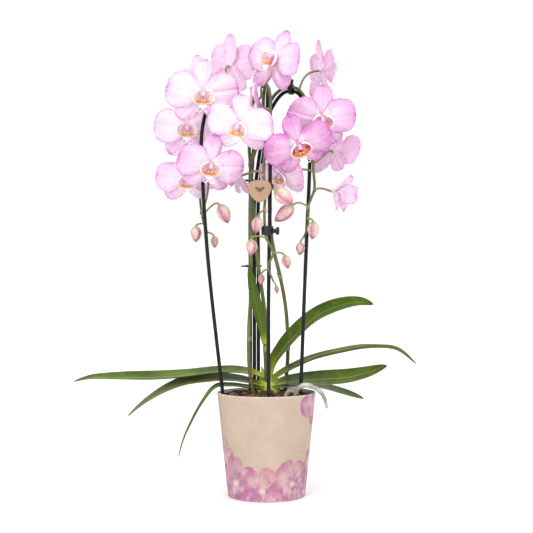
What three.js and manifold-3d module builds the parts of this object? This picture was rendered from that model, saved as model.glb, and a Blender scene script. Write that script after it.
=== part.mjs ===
// A potted moth orchid. Three flower spikes are trained over wire hoops, so that their blooms
// cascade and their buds hang at the tips. Strap leaves stand round a short crown, which sits in
// bark in a thin grow pot, and a tapered printed pot holds the grow pot.
// Millimetres, +Z up. The origin is the middle of the outer pot's underside, and the plant's
// front looks along -Y.
import * as THREE from "three";
import { mergeVertices } from "three/addons/utils/BufferGeometryUtils.js";
import Module from "manifold-3d";

const wasm = await Module();
wasm.setup();

// ---------------------------------------------------------------- driving dimensions
const GAP = 0.3; // clearance between pieces that touch
const HOLE = 0.5; // clearance of a stem, wire or root in its hole
const SLACK = 0.8; // clearance of a band round its wires
const POT = { height: 125.6, topRadius: 60, footRadius: 46.9, wall: 1.5, floor: 1.8, segments: 36 };
const GROW_POT = { rimBelow: 4, wall: 0.8, clearance: 0.5, segments: 24 };
const BARK = { mound: 6, chips: 14, length: 15, width: 10, thickness: 4.4, rise: 0.8, seed: 11 };
const CROWN = { x: 3, y: 2, foot: 100, top: 150, radius: 12.6, depth: 0.77 };
const WIRE = { radius: 2.25, sides: 6, steps: 22 };
const STEM = { footRadius: 2.4, tipRadius: 1.2, sides: 5, steps: 32, lowSteps: 10 };
const STALK = { radius: 1.2, budShare: 0.8, sides: 4, steps: 3 };
const BUD = { sides: 5, steps: 4 };
const ROOT = { sides: 6, steps: 7, taper: 0.45 };
const LEAF = { thickness: 1.8, rows: 8, columns: 4, narrowRows: 6, narrowColumns: 2 };
const PETAL = { half: 21.5, shutHalf: 10, depth: 0.9, lean: 4, rows: 4, columns: 2, thickness: 0.9 };
const SEPAL = { half: 12.4, shutHalf: 10.5, depth: -2.2, length: 0.93, rows: 2, columns: 2 };
const COLUMN = { tipRadius: 2.2, footRadius: 2.8, length: 6.8, nod: 0.25, y: 1.5, z: 5.7 };
const LIP = { foot: 7.2, flare: 7.6, height: 8, lift: 6, yoke: [9.6, 5, 5.6] };
const BLOOM_RADIUS = 43; // from the middle of a full bloom to the tip of a petal
const HUB_RADIUS = 4.6; // of the swelling that the petals grow from
const HUB_DEPTH = 0.9; // the swelling's depth as a share of its width
const OPENING_LEAN = 50; // degrees that the petals of a bud would lean forwards
const TAG = { x: -8, y: -62.6, z: 367, width: 26, thickness: 1.4, turn: 8 };

const COLOURS = {
  card: 0xd9bf9f, black: 0x1d1b1e, bark: 0x7a4632, leaf: 0x4f7d2c, bract: 0x6b7d3c,
  crown: 0xa9c23f, stem: 0x66793a, root: 0xb9b3ad, petal: 0xf0c6f0, lip: 0xd9604a, tag: 0xe8b98c,
};

// ---------------------------------------------------------------- solids
const V = (x, y, z) => new THREE.Vector3(x, y, z);
const { degToRad, clamp, lerp } = THREE.MathUtils;
const smooth = (list) => new THREE.CatmullRomCurve3(list.map((p) => V(...p)), false, "centripetal");

// Seeded random numbers from 0 to 1.
function randomFrom(seed) {
  let state = seed;
  return () => {
    state = (state + 0x6d2b79f5) | 0;
    let mixed = Math.imul(state ^ (state >>> 15), 1 | state);
    mixed = (mixed + Math.imul(mixed ^ (mixed >>> 7), 61 | mixed)) ^ mixed;
    return ((mixed ^ (mixed >>> 14)) >>> 0) / 2 ** 32;
  };
}

function toSolid(geometry) {
  geometry.deleteAttribute("normal");
  geometry.deleteAttribute("uv");
  const merged = mergeVertices(geometry);
  return new wasm.Manifold(
    new wasm.Mesh({
      numProp: 3,
      vertProperties: merged.getAttribute("position").array,
      triVerts: new Uint32Array(merged.index.array),
    }),
  );
}

function toGeometry(solid) {
  const { vertProperties, triVerts } = solid.getMesh();
  const geometry = new THREE.BufferGeometry();
  geometry.setAttribute("position", new THREE.BufferAttribute(vertProperties, 3));
  geometry.setIndex(new THREE.BufferAttribute(triVerts, 1));
  geometry.computeVertexNormals();
  return geometry;
}

const fuse = (solids) => solids.reduce((all, one) => all.add(one));
const cutAway = (solid, cutters) => cutters.reduce((rest, cutter) => rest.subtract(cutter), solid);

// Two triangles for each cell of a grid of vertices, which at(i, j) numbers.
function gridFaces(rows, columns, at, flip, faces) {
  for (let i = 0; i < rows; i++) {
    for (let j = 0; j < columns; j++) {
      const [p, q, r, s] = [at(i, j), at(i + 1, j), at(i + 1, j + 1), at(i, j + 1)];
      faces.push(...(flip ? [p, r, q, p, s, r] : [p, q, r, p, r, s]));
    }
  }
}

const fromFaces = (vertices, faces) =>
  toSolid(new THREE.BufferGeometry().setFromPoints(vertices).setIndex(faces));

// A closed thin blade. surface(a, b) is its middle surface, with a and b from 0 to 1. Both faces
// are split into triangles alike, half the thickness to either side.
function blade(surface, rows, columns, thickness) {
  const step = 1e-3;
  const front = [];
  const back = [];
  for (let i = 0; i <= rows; i++) {
    for (let j = 0; j <= columns; j++) {
      const [a, b] = [i / rows, j / columns];
      const along = surface(Math.min(a + step, 1), b).sub(surface(Math.max(a - step, 0), b));
      const across = surface(a, Math.min(b + step, 1)).sub(surface(a, Math.max(b - step, 0)));
      const offset = along.cross(across).setLength(thickness / 2);
      front.push(surface(a, b).add(offset));
      back.push(surface(a, b).sub(offset));
    }
  }
  const at = (i, j) => i * (columns + 1) + j;
  const under = (i, j) => at(i, j) + front.length;
  const faces = [];
  gridFaces(rows, columns, at, false, faces);
  gridFaces(rows, columns, under, true, faces);
  const rim = [];
  for (let i = 0; i < rows; i++) rim.push([i, 0]);
  for (let j = 0; j < columns; j++) rim.push([rows, j]);
  for (let i = rows; i > 0; i--) rim.push([i, columns]);
  for (let j = columns; j > 0; j--) rim.push([0, j]);
  rim.forEach(([i, j], k) => {
    const [m, n] = rim[(k + 1) % rim.length];
    faces.push(at(i, j), under(i, j), under(m, n), at(i, j), under(m, n), at(m, n));
  });
  return fromFaces([...front, ...back], faces);
}

// A closed tube along a curve, between two of its parameters, with flat ends. radiusAt takes the
// share of the tube's way, from 0 to 1.
function sweep(curve, radiusAt, sides, steps, start = 0, end = 1) {
  const rings = [];
  let normal = null;
  for (let i = 0; i <= steps; i++) {
    const t = start + ((end - start) * i) / steps;
    const middle = curve.getPoint(t);
    const tangent = curve.getTangent(t);
    normal ??= (Math.abs(tangent.y) < 0.9 ? V(0, 1, 0) : V(1, 0, 0)).cross(tangent);
    normal.addScaledVector(tangent, -normal.dot(tangent)).normalize();
    const side = tangent.clone().cross(normal);
    const radius = radiusAt(i / steps);
    for (let k = 0; k < sides; k++) {
      const angle = (2 * Math.PI * k) / sides;
      const spoke = normal.clone().multiplyScalar(radius * Math.cos(angle));
      rings.push(spoke.addScaledVector(side, radius * Math.sin(angle)).add(middle));
    }
  }
  const at = (i, k) => i * sides + (k % sides);
  const faces = [];
  gridFaces(steps, sides, at, true, faces);
  for (let k = 1; k < sides - 1; k++) {
    faces.push(at(0, 0), at(0, k + 1), at(0, k), at(steps, 0), at(steps, k), at(steps, k + 1));
  }
  return fromFaces(rings, faces);
}

function lathe(profile, segments) {
  const outline = profile.map(([r, z]) => new THREE.Vector2(r, z));
  return toSolid(new THREE.LatheGeometry(outline, segments).rotateX(Math.PI / 2));
}

// The parameter at which a curve passes nearest to a place, between two of its parameters.
function nearest(curve, place, from = 0, to = 1) {
  const samples = 400;
  const ways = Array.from({ length: samples + 1 }, (_, i) => from + ((to - from) * i) / samples);
  const farness = (t) => curve.getPoint(t).distanceTo(place);
  return ways.reduce((best, t) => (farness(t) < farness(best) ? t : best));
}

const group = new THREE.Group();

function addMesh(name, geometry, colour, roughness = 0.6) {
  const material = new THREE.MeshStandardMaterial({ color: colour, roughness, metalness: 0 });
  const mesh = new THREE.Mesh(geometry, material);
  mesh.name = name;
  group.add(mesh);
  return mesh;
}

// ---------------------------------------------------------------- pots
const potRadius = (z) => POT.footRadius + ((POT.topRadius - POT.footRadius) * z) / POT.height;
const growPotRadius = (z) => potRadius(z) - POT.wall - GROW_POT.clearance;
const growPotRim = POT.height - GROW_POT.rimBelow;
const growPotFoot = POT.floor + GAP;

// A tapered pot with an even wall: radiusAt(z) is its outside.
function taperedPot(radiusAt, foot, rim, wall, floor, segments) {
  return lathe(
    [
      [0, foot],
      [radiusAt(foot), foot],
      [radiusAt(rim), rim],
      [radiusAt(rim) - wall, rim],
      [radiusAt(foot + floor) - wall, foot + floor],
      [0, foot + floor],
      [0, foot],
    ],
    segments,
  );
}

// ---------------------------------------------------------------- supports: three wire hoops
// Each hoop's points run from its leg in the bundle at the back, over its arch, to its outer leg.
const HOOPS = {
  left: [
    [-20, 26, 60], [-20, 26, 130], [-20, 26, 260], [-20, 26, 360], [-17, 24, 410], [-15, 21, 440],
    [-22, 14, 470], [-38, 4, 488], [-56, -4, 490], [-70, -9, 473], [-78, -12, 440],
    [-77.2, -12, 385], [-71, -12, 290], [-57, -12, 160], [-45, -9, 60],
  ],
  right: [
    [-15, 26, 60], [-15, 26, 130], [-15, 26, 260], [-15, 26, 360], [-11, 25.5, 400],
    [-5, 24, 437], [6, 16, 472], [22, 6, 491], [38, -3, 489], [48, -10, 468], [52, -14, 435],
    [52, -15, 400], [48.3, -15, 310], [45.4, -15, 238], [41.5, -15, 134], [38.5, -15, 60],
  ],
  front: [
    [-10, 26, 60], [-10, 26, 130], [-10, 26, 260], [-10, 26, 360], [-6, 22, 400], [-1, 17, 437],
    [1, 9, 470], [1.5, -6, 488], [2.5, -22, 492], [3.5, -38, 481], [4.3, -48, 455],
    [4.3, -50, 403], [4.1, -50, 356], [2.4, -50, 239], [2.5, -50, 132], [2.5, -46, 60],
  ],
};
const hoopCurve = Object.fromEntries(Object.entries(HOOPS).map(([name, list]) => [name, smooth(list)]));
const hoop = (name, clearance = 0) =>
  sweep(hoopCurve[name], () => WIRE.radius + clearance, WIRE.sides, WIRE.steps);

// Points beside a hoop's arch, between two of the hoop's heights and `away` from the wire. A turn of
// 0 is on the outside of the arch, and 90 degrees is on its left or back.
function besideHoop(name, rise, fall, count, away, turns) {
  const curve = hoopCurve[name];
  const top = nearest(curve, curve.getPoint(0.5).setZ(900), 0.3, 0.7);
  const from = nearest(curve, V(...rise), 0.1, top);
  const to = nearest(curve, V(...fall), top, 0.9);
  const back = curve.getPoint(0).sub(curve.getPoint(1)).setZ(0).cross(V(0, 0, 1)).normalize();
  if (back.y < back.x) back.negate();
  return Array.from({ length: count }, (_, i) => {
    const share = i / (count - 1);
    const t = from + (to - from) * share;
    const place = curve.getPoint(t);
    const outward = curve.getTangent(t).cross(back).normalize();
    if (outward.z < 0) outward.negate();
    const turn = degToRad(turns[0] + (turns[1] - turns[0]) * share);
    place.addScaledVector(outward, away * Math.cos(turn));
    return place.addScaledVector(back, away * Math.sin(turn)).toArray();
  });
}

// ---------------------------------------------------------------- flower spikes
// Each spike's stem runs up the bundle, over one hoop's arch, and hangs down in front of it.
const BESIDE = 5.4; // from a wire's middle line to the stem that runs along it
const SPIKES = {
  left: [
    [1, 1, 106], [-0.5, -4, 152], [-1.8, -5, 183], [-0.6, 0, 206], [-5, 9, 245], [-11, 17, 285],
    [-15.5, 20, 330], [-18, 19, 380], [-21, 17, 420],
    ...besideHoop("left", [-20, 16, 462], [-68, -8, 478], 5, BESIDE, [90, 70]),
    [-73, 5, 474], [-79, 12, 458], [-81.5, 14, 440], [-82.5, 17, 400], [-82.5, 19.5, 372],
    [-80.5, 12, 350], [-76.5, -1, 331], [-71.5, -5, 319],
  ],
  centre: [
    [-12, -12, 106], [-16.5, -14, 128], [-20.5, -13, 155], [-21.5, -2, 200], [-19.5, 12, 240],
    [-19, 15, 300], [-19.5, 14.5, 350], [-19, 10, 400], [-10, 9, 433],
    ...besideHoop("front", [0, 12, 462], [4, -44, 470], 5, BESIDE, [80, 0]),
    [0, -54.5, 430], [-3, -55, 398], [-3.3, -54, 386], [-1.4, -55.5, 365], [-2.4, -56, 345],
    [-2, -56.5, 327], [0, -57, 312], [7.5, -58, 294], [3.6, -59, 283], [2, -59, 276],
    [8, -59, 261],
  ],
  right: [
    [12, 16, 104], [22, 26, 122], [25, 27.5, 145], [26.5, 27.5, 176], [24, 24, 225],
    [17, 18, 265], [9, 12, 298], [5, 8, 325], [3.5, 7, 360], [4, 8, 400], [7, 9.5, 437],
    ...besideHoop("right", [10, 13, 478], [50, -12, 452], 5, BESIDE, [-55, 0]),
    [57, -17, 425], [56, -21, 400], [57.5, -22, 371], [54, -22.5, 361], [50, -23, 350],
    [50, -23, 336], [47.5, -23, 320], [44.5, -22, 313],
  ],
};
const spikeCurve = Object.fromEntries(Object.entries(SPIKES).map(([name, list]) => [name, smooth(list)]));
const stemRadius = (share) => STEM.footRadius + (STEM.tipRadius - STEM.footRadius) * share ** 1.5;
const lowShare = STEM.lowSteps / STEM.steps; // of a spike, which the bark and the crown leave room for
const lowStem = (name) =>
  sweep(spikeCurve[name], () => STEM.footRadius + HOLE, STEM.sides, STEM.lowSteps, 0, lowShare);

// ---------------------------------------------------------------- blooms
// Each bloom: its middle, where it faces (turn to the plant's right, tilt up and roll clockwise, in
// degrees), its size, the spike that it grows from, the place on that spike where its stalk starts,
// and the way that the stalk sets out.
const BLOOMS = {
  left_top: [[-76, -44, 482], [12, -20, 0], 1.02, "left", [-66, -4, 484], [0, -1, 0.5]],
  left_back: [[-90, 24, 507], [-48, 4, -5], 0.86, "left", [-58, 2, 492], [-0.6, 0.7, 0.6]],
  left_crest: [[-43, 23, 526], [133, 6, -8], 0.98, "left", [-42, 6, 492], [0, -0.3, 1]],
  left_middle: [[-96, 4, 446], [0, -6, 0], 0.97, "left", [-82, 13, 425], [-0.4, 0.8, 0.4]],
  left_low: [[-67, -45.5, 397], [12, -22, 8], 0.94, "left", [-79, 8, 346], [0.6, -0.2, 1]],
  left_lowest: [[-97, -1, 385], [8, -22, -6], 0.88, "left", [-82, 12, 380], [-0.3, 0.9, 0.4]],
  centre_crest: [[9, -31, 524], [-38, 12, 14], 0.97, "centre", [0, -8, 493], [0.2, 0, 1]],
  centre_side: [[-13.5, -31, 477], [-84, -6, 0], 0.74, "centre", [1, -12, 494], [-1, 0.2, 0.3]],
  centre_front: [[-31, -73, 441], [-22, -26, 10], 0.95, "centre", [2, -50, 462], [-0.6, 0.2, 0.5]],
  centre_low: [[-37.5, -4, 387], [-112, -10, 4], 0.66, "centre", [-3.3, -54, 386], [-0.3, 0.6, 0.3]],
  right_crest: [[69, 14, 519], [105, 4, 0], 0.95, "right", [43, -4, 494], [0.3, 0, 1]],
  right_top: [[64, -42, 453], [14, -26, 2], 1, "right", [57, -14, 450], [0.6, -0.5, 0.5]],
  right_front: [[37.5, -70, 418], [16, -30, -24], 0.95, "right", [57, -18, 420], [-0.1, -1, 0.2]],
  right_back: [[83, 2, 417], [140, -18, 0], 0.86, "right", [56, -21, 402], [1, -0.3, 0.3]],
  right_inner: [[18, -31, 386], [-34, -24, 0], 0.74, "right", [57, -22, 392], [-0.8, 0.3, 0.4]],
  right_opening: [[82, -14, 368], [72, -16, 0], 0.74, "right", [57.5, -22, 371], [1, 0.1, 0.3], 0.5],
};

// Turns a bloom's own frame, in which it faces +Z with +Y up, to where it faces.
function facingRotation([turn, tilt, roll]) {
  const stand = new THREE.Matrix4().makeRotationX(Math.PI / 2);
  const spin = new THREE.Matrix4().makeRotationZ(degToRad(-roll));
  const raise = new THREE.Matrix4().makeRotationX(degToRad(-tilt));
  const yaw = new THREE.Matrix4().makeRotationZ(degToRad(turn));
  return yaw.multiply(stand).multiply(raise).multiply(spin);
}

// A petal's middle surface is an oval with a narrow claw at its base, and broader towards its tip.
// Along its middle line it rises and then falls back, its sides fold from that line, and its rim
// waves.
function petalSurface({ length, half, rise, fall, fold, wave, waves, phase }) {
  const start = 0.1; // share of the half turn that makes the oval, which the claw cuts off
  const claw = 0.35;
  return (a, b) => {
    const turn = Math.PI * (start + (0.995 - start) * a);
    const out = (1 - Math.cos(turn)) / 2;
    const side = 2 * b - 1;
    const width = half * Math.sin(turn) ** 0.85 * Math.min(1, claw + 2.2 * out) * (0.85 + 0.3 * out);
    const ripple = wave * side * side * Math.sin(waves * Math.PI * out + phase + side);
    const height = rise * out - fall * out * out - fold * side * side * Math.sin(turn) + ripple;
    return V(length * out, width * side, length * height);
  };
}

// A petal that points `axis` degrees round from +X and leans forwards by `lean` degrees, with its
// base `depth` in front of the bloom's middle.
function petal(shape, axis, lean, { depth, rows, columns }) {
  const place = new THREE.Matrix4()
    .makeRotationZ(degToRad(axis))
    .multiply(new THREE.Matrix4().makeRotationY(degToRad(-lean)))
    .setPosition(0, 0, depth);
  const surface = petalSurface(shape);
  return blade((a, b) => surface(a, b).applyMatrix4(place), rows, columns, PETAL.thickness);
}

function hub() {
  const depth = 2 * HUB_RADIUS * HUB_DEPTH;
  return toSolid(new THREE.CylinderGeometry(HUB_RADIUS, HUB_RADIUS, depth, 5).rotateX(Math.PI / 2));
}

function column() {
  const { tipRadius, footRadius, length, nod, y, z } = COLUMN;
  const post = new THREE.CylinderGeometry(tipRadius, footRadius, length, 5);
  return toSolid(post.rotateX(Math.PI / 2 + nod).translate(0, y, z));
}

// The three sepals, the two broad petals and the column of a bloom at full size.
function perianth(open, seed) {
  const random = randomFrom(seed);
  const vary = (amount) => (random() * 2 - 1) * amount;
  const shut = 1 - open;
  const petalShape = () => ({
    length: BLOOM_RADIUS, half: lerp(PETAL.half, PETAL.shutHalf, shut), rise: 0.2 + vary(0.05),
    fall: 0.26 + vary(0.06) - 0.5 * shut, fold: 0.08 + vary(0.05) - 0.5 * shut,
    wave: 0.05, waves: 3, phase: vary(3),
  });
  const sepalShape = () => ({
    length: BLOOM_RADIUS * SEPAL.length, half: lerp(SEPAL.half, SEPAL.shutHalf, shut),
    rise: 0.12 + vary(0.03), fall: 0.18 + vary(0.06) - 0.4 * shut, fold: 0.06 - 0.4 * shut,
    wave: 0.02, waves: 2, phase: vary(3),
  });
  const lean = OPENING_LEAN * shut;
  return fuse([
    hub(),
    column(),
    petal(petalShape(), 10 + vary(4), lean + PETAL.lean, PETAL),
    petal(petalShape(), 170 + vary(4), lean + PETAL.lean, PETAL),
    petal(sepalShape(), 90 + vary(3), lean, SEPAL),
    petal(sepalShape(), -48 + vary(4), lean - PETAL.lean, SEPAL),
    petal(sepalShape(), 228 + vary(4), lean - PETAL.lean, SEPAL),
  ]);
}

// A lip's side lobe stands round the column as a shell, wider at its rim than at its base.
function lipLobe(sign) {
  const surface = (a, b) => {
    const angle = degToRad(-62 + 128 * (sign > 0 ? a : 1 - a));
    const height = Math.sin(Math.PI * (0.14 + 0.74 * (sign > 0 ? a : 1 - a))) ** 0.5;
    const radius = LIP.foot + LIP.flare * b * height;
    const forward = LIP.lift + LIP.height * b * height;
    return V(sign * radius * Math.cos(angle), radius * Math.sin(angle) - 1.5, forward);
  };
  return blade(surface, 3, 1, PETAL.thickness);
}

// The lip's middle lobe is a tongue that runs forwards and down to a narrow end.
function lipTongue() {
  const surface = (a, b) => {
    const side = 2 * a - 1;
    const half = 3 + 3.9 * Math.sin(Math.PI * b) * b;
    return V(side * half * (1 - 0.7 * b ** 6), -5.3 - 9.8 * b, LIP.lift + 12.6 * b - 7 * b * b);
  };
  return blade(surface, 1, 2, 1.2);
}

function lip() {
  const yoke = new THREE.BoxGeometry(...LIP.yoke).translate(0, -6.8, 7.2);
  return fuse([lipLobe(1), lipLobe(-1), lipTongue(), toSolid(yoke)]);
}

function addBloom([name, [at, facing, size, , , , open = 1]], seed) {
  const pieces = [["bloom", perianth(open, seed), COLOURS.petal]];
  if (open === 1) pieces.push(["lip", lip(), COLOURS.lip]);
  for (const [kind, solid, colour] of pieces) {
    const mesh = addMesh(`${kind}_${name}`, toGeometry(solid).scale(size, size, size), colour, 0.5);
    mesh.position.set(...at);
    mesh.rotation.setFromRotationMatrix(facingRotation(facing));
  }
}

// ---------------------------------------------------------------- stalks and buds
// Each bud: its base, its tip, its width, and where on the spike its stalk starts.
const BUDS = {
  left: [
    [[-57, -5, 353], [-47, -5, 331], 16, [-79, 4, 342]],
    [[-86, -5, 327], [-86, -5, 308], 13, [-76, -1, 331]],
    [[-64, -4, 315], [-63, -4, 301], 9.4, [-71.5, -5, 320]],
  ],
  centre: [
    [[10, -62, 368], [30, -62, 350], 18, [-1.3, -55, 364]],
    [[-10, -63, 336], [-13, -64, 317], 13, [-2.4, -56, 345]],
    [[-18, -62, 310], [-18, -62, 291], 12.5, [0, -57, 312]],
    [[21, -60, 291], [25, -60, 276], 10.5, [7.5, -58, 294]],
    [[-6, -60, 269], [-7, -60, 257], 8, [2, -59, 276]],
    [[11, -59.5, 256], [12.5, -59.5, 246.5], 5.6, [8, -59, 261]],
  ],
  right: [
    [[31, -40, 351], [10, -40, 332], 16.4, [50, -23, 350]],
    [[56, -27, 332], [54.5, -28, 311], 14.4, [50, -23, 336]],
    [[40.5, -23, 307], [39.5, -23, 292], 10.8, [44.5, -22, 313]],
  ],
};

// A stalk sets out along `leave` and arrives at its bloom or bud along `arrive`.
function stalk(from, to, leave, arrive, radius) {
  const reach = from.distanceTo(to) * 0.4;
  const bend = from.clone().addScaledVector(leave.normalize(), reach);
  const curve = new THREE.CubicBezierCurve3(from, bend, to.clone().addScaledVector(arrive, -reach), to);
  return sweep(curve, (share) => radius * (1 + 0.25 * share), STALK.sides, STALK.steps);
}

// A bud is a spindle, widest a third of the way down, with a blunt tip.
function bud(base, tip, width) {
  const swell = (share) => Math.sin(Math.PI * clamp(share, 0.04, 0.96) ** 0.72) ** 0.75;
  const line = new THREE.LineCurve3(V(...base), V(...tip));
  return sweep(line, (share) => (width / 2) * swell(share), BUD.sides, BUD.steps);
}

function spike(name) {
  const curve = spikeCurve[name];
  const startNear = (place) => curve.getPoint(nearest(curve, V(...place), lowShare));
  const solids = [sweep(curve, stemRadius, STEM.sides, STEM.steps)];
  for (const [at, facing, size, owner, from, leave] of Object.values(BLOOMS)) {
    if (owner !== name) continue;
    const ahead = V(0, 0, 1).applyMatrix4(facingRotation(facing));
    const end = V(...at).addScaledVector(ahead, -HUB_RADIUS * HUB_DEPTH * size - GAP);
    solids.push(stalk(startNear(from), end, V(...leave), ahead, STALK.radius));
  }
  for (const [base, tip, width, from] of BUDS[name]) {
    const start = startNear(from);
    const hang = V(...tip).sub(V(...base)).normalize();
    const end = V(...base).addScaledVector(hang, width / 10);
    const leave = end.clone().sub(start).normalize().add(V(0, 0, 0.35));
    solids.push(stalk(start, end, leave, hang, STALK.radius * STALK.budShare), bud(base, tip, width));
  }
  return fuse(solids);
}

// ---------------------------------------------------------------- crown, leaves and roots
function crown(clearance = 0) {
  const { x, y, foot, top, depth } = CROWN;
  const radius = CROWN.radius + clearance;
  const profile = [
    [0, foot - clearance],
    [radius * 0.5, foot - clearance],
    [radius * 0.85, foot + 18],
    [radius, foot + 34],
    [radius * 0.8, top - 6],
    [radius * 0.3, top + clearance],
    [0, top + clearance],
  ];
  const outline = profile.map(([r, z]) => new THREE.Vector2(r, z));
  const body = new THREE.LatheGeometry(outline, 12).rotateX(Math.PI / 2);
  return toSolid(body.scale(1, depth, 1).translate(x, y, 0));
}

// Each leaf: its midrib from the crown to the tip, the way its width runs at the base and the tip,
// its greatest width, and how deep its channel is.
const LEAVES = {
  leaf_left_long: {
    midrib: [
      [-2, 2, 142], [-16, 4, 147], [-36, 10, 149.5], [-60, 15, 148.5], [-100, 14, 144],
      [-140, 8, 142], [-180, 2, 142.5], [-214, -2, 142.5], [-234, -3, 138.5],
    ],
    sides: [[0, 1, 0.12], [0, 1, 0.2]], width: 40, channel: 0.1,
  },
  leaf_left_drooping: {
    midrib: [
      [-2, 2, 132], [-18, 4, 136.5], [-40, 9, 140], [-66, 12, 140], [-96, 6, 137],
      [-124, -2, 127], [-148, -6, 113], [-168, -8, 97],
    ],
    sides: [[0, 1, 0.12], [0.1, 1, 0.3]], width: 38, channel: 0.08,
  },
  leaf_left_hanging: {
    midrib: [
      [-4, 0, 130], [-22, 2, 131.5], [-44, 4, 133], [-62, 4, 131], [-78, 2, 113], [-91, 0, 90],
      [-101, -1, 68], [-107, -2, 47],
    ],
    sides: [[0, 1, 0.05], [0, 1, 0.05]], width: 24, channel: 0.08,
  },
  leaf_right_high: {
    midrib: [
      [5, -1, 144], [10, -2, 162], [21, -1, 178], [38, 5, 197], [62, 11, 217], [88, 11, 229],
      [112, 7, 234], [130, 0, 232],
    ],
    sides: [[-0.3, 1, 0.25], [0, 1, 0.65]], width: 36, channel: 0.12,
  },
  leaf_right_long: {
    midrib: [
      [6, 0, 139], [18, 2, 147], [36, 6, 156], [58, 11, 165], [90, 12, 173], [126, 10, 179],
      [158, 4, 177], [182, -4, 160],
    ],
    sides: [[-0.1, 1, 0.14], [0, 1, -0.16]], width: 34, channel: 0.12,
  },
  leaf_right_broad: {
    midrib: [
      [6, 1, 133], [20, 3, 137], [42, 9, 139], [66, 11, 139.5], [96, 10, 141.5], [124, 7, 148],
      [147, 3, 157],
    ],
    sides: [[0, 1, 0.16], [0, 1, 0.62]], width: 38, channel: 0.08,
  },
  leaf_right_low: {
    midrib: [
      [8, 1, 131], [24, 4, 132], [40, 18, 131.5], [54, 32, 131], [76, 39, 126.5],
      [100, 38, 120], [121, 34, 113.5],
    ],
    sides: [[-0.3, 1, 0.05], [-0.1, 1, 0.34]], width: 32, channel: 0.06,
  },
};
// A narrow leaf stands at the first joint of the left spike.
const BRACT_LEAF = {
  midrib: [
    [-3, -8.7, 184], [-4.5, -10.5, 198], [-8.5, -11, 216], [-14, -11, 240], [-18, -9, 262],
    [-20.5, -7, 282],
  ],
  sides: [[1, -0.6, 0], [1, 0.3, 0.1]], width: 13, channel: 0.2,
};

// A leaf's middle surface: its width grows fast from the base and closes at the tip, and its two
// halves rise from the midrib as a shallow channel.
function leafSurface({ midrib, sides, width, channel }) {
  const curve = smooth(midrib);
  return (a, b) => {
    const along = 0.225 * (1 - Math.cos(Math.PI * a)) + 0.55 * a;
    const side = 2 * b - 1;
    const tangent = curve.getTangentAt(along);
    const wide = V(...sides[0]).lerp(V(...sides[1]), along);
    wide.addScaledVector(tangent, -wide.dot(tangent)).normalize();
    const lift = wide.clone().cross(tangent).normalize();
    if (lift.z < 0) lift.negate();
    const half = (width / 2) * Math.max(Math.sin(Math.PI * (0.1 + 0.9 * along)), 0.002) ** 0.55;
    const place = curve.getPointAt(along).addScaledVector(wide, half * side);
    return place.addScaledVector(lift, half * channel * 2 * side * side);
  };
}

const leaf = (shape, rows, columns) => blade(leafSurface(shape), rows, columns, LEAF.thickness);

const ROOTS = {
  root_hanging: {
    path: [
      [33, -19, 112], [37, -22, 130], [45, -24, 136], [54, -25, 134.5], [64, -26, 129],
      [69, -27, 121], [72, -27, 110],
    ],
    radius: 3.1,
  },
  root_short: {
    path: [[21, -30, 104], [22, -32, 120], [26, -32, 129], [32, -30, 129], [36, -28, 112]],
    radius: 2.6,
  },
};
const root = ({ path, radius }, clearance = 0) =>
  sweep(
    smooth(path),
    (share) => radius * (1 - ROOT.taper * share ** 3) + clearance,
    ROOT.sides,
    ROOT.steps,
  );

// ---------------------------------------------------------------- bark
// A low mound fills the grow pot, and chips stand out of it. `standing` are the wires, stems and
// roots with their clearance, which leave plain holes.
function barkChip(random, wall, brim) {
  const between = (low, high) => low + (high - low) * random();
  const distance = wall * Math.sqrt(random());
  const angle = between(0, 2 * Math.PI);
  const chip = new THREE.CylinderGeometry(0.72, 1, BARK.thickness * between(0.8, 1.3), 4);
  chip.rotateX(Math.PI / 2);
  chip.scale((BARK.length / 2) * between(0.7, 1.2), (BARK.width / 2) * between(0.7, 1.2), 1);
  chip.rotateX(between(-0.5, 0.5)).rotateY(between(-0.4, 0.4)).rotateZ(between(0, Math.PI));
  const ground = brim + BARK.mound * (1 - distance / wall) + BARK.rise;
  return toSolid(chip.translate(distance * Math.cos(angle), distance * Math.sin(angle), ground));
}

function bark(standing) {
  const random = randomFrom(BARK.seed);
  const wall = (z) => growPotRadius(z) - GROW_POT.wall - GAP;
  const floor = growPotFoot + GROW_POT.wall + GAP;
  const brim = growPotRim - 1.5;
  const crest = brim + BARK.mound;
  const profile = [[0, floor], [wall(floor), floor], [wall(brim), brim], [0, crest]];
  const core = lathe(profile, GROW_POT.segments);
  const chips = Array.from({ length: BARK.chips }, () => barkChip(random, wall(brim) - 8, brim));
  return cutAway(fuse([core, ...chips]), standing);
}

// ---------------------------------------------------------------- ties and clips
// The outline of a taut band round a set of circles is their convex hull, `extra` outside them.
function bandOutline(circles, extra) {
  const sides = 8;
  const cloud = circles.flatMap(({ x, y, radius }) =>
    Array.from({ length: sides }, (_, k) => {
      const angle = (2 * Math.PI * k) / sides;
      const reach = (radius + extra) / Math.cos(Math.PI / sides);
      return new THREE.Vector2(x + reach * Math.cos(angle), y + reach * Math.sin(angle));
    }),
  );
  cloud.sort((p, q) => p.x - q.x || p.y - q.y);
  const turnsLeft = (o, p, q) => p.clone().sub(o).cross(q.clone().sub(o)) > 1e-6;
  const chain = (list) =>
    list.reduce((made, p) => {
      while (made.length > 1 && !turnsLeft(made.at(-2), made.at(-1), p)) made.pop();
      return [...made, p];
    }, []);
  return [...chain(cloud).slice(0, -1), ...chain(cloud.toReversed()).slice(0, -1)];
}

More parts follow.
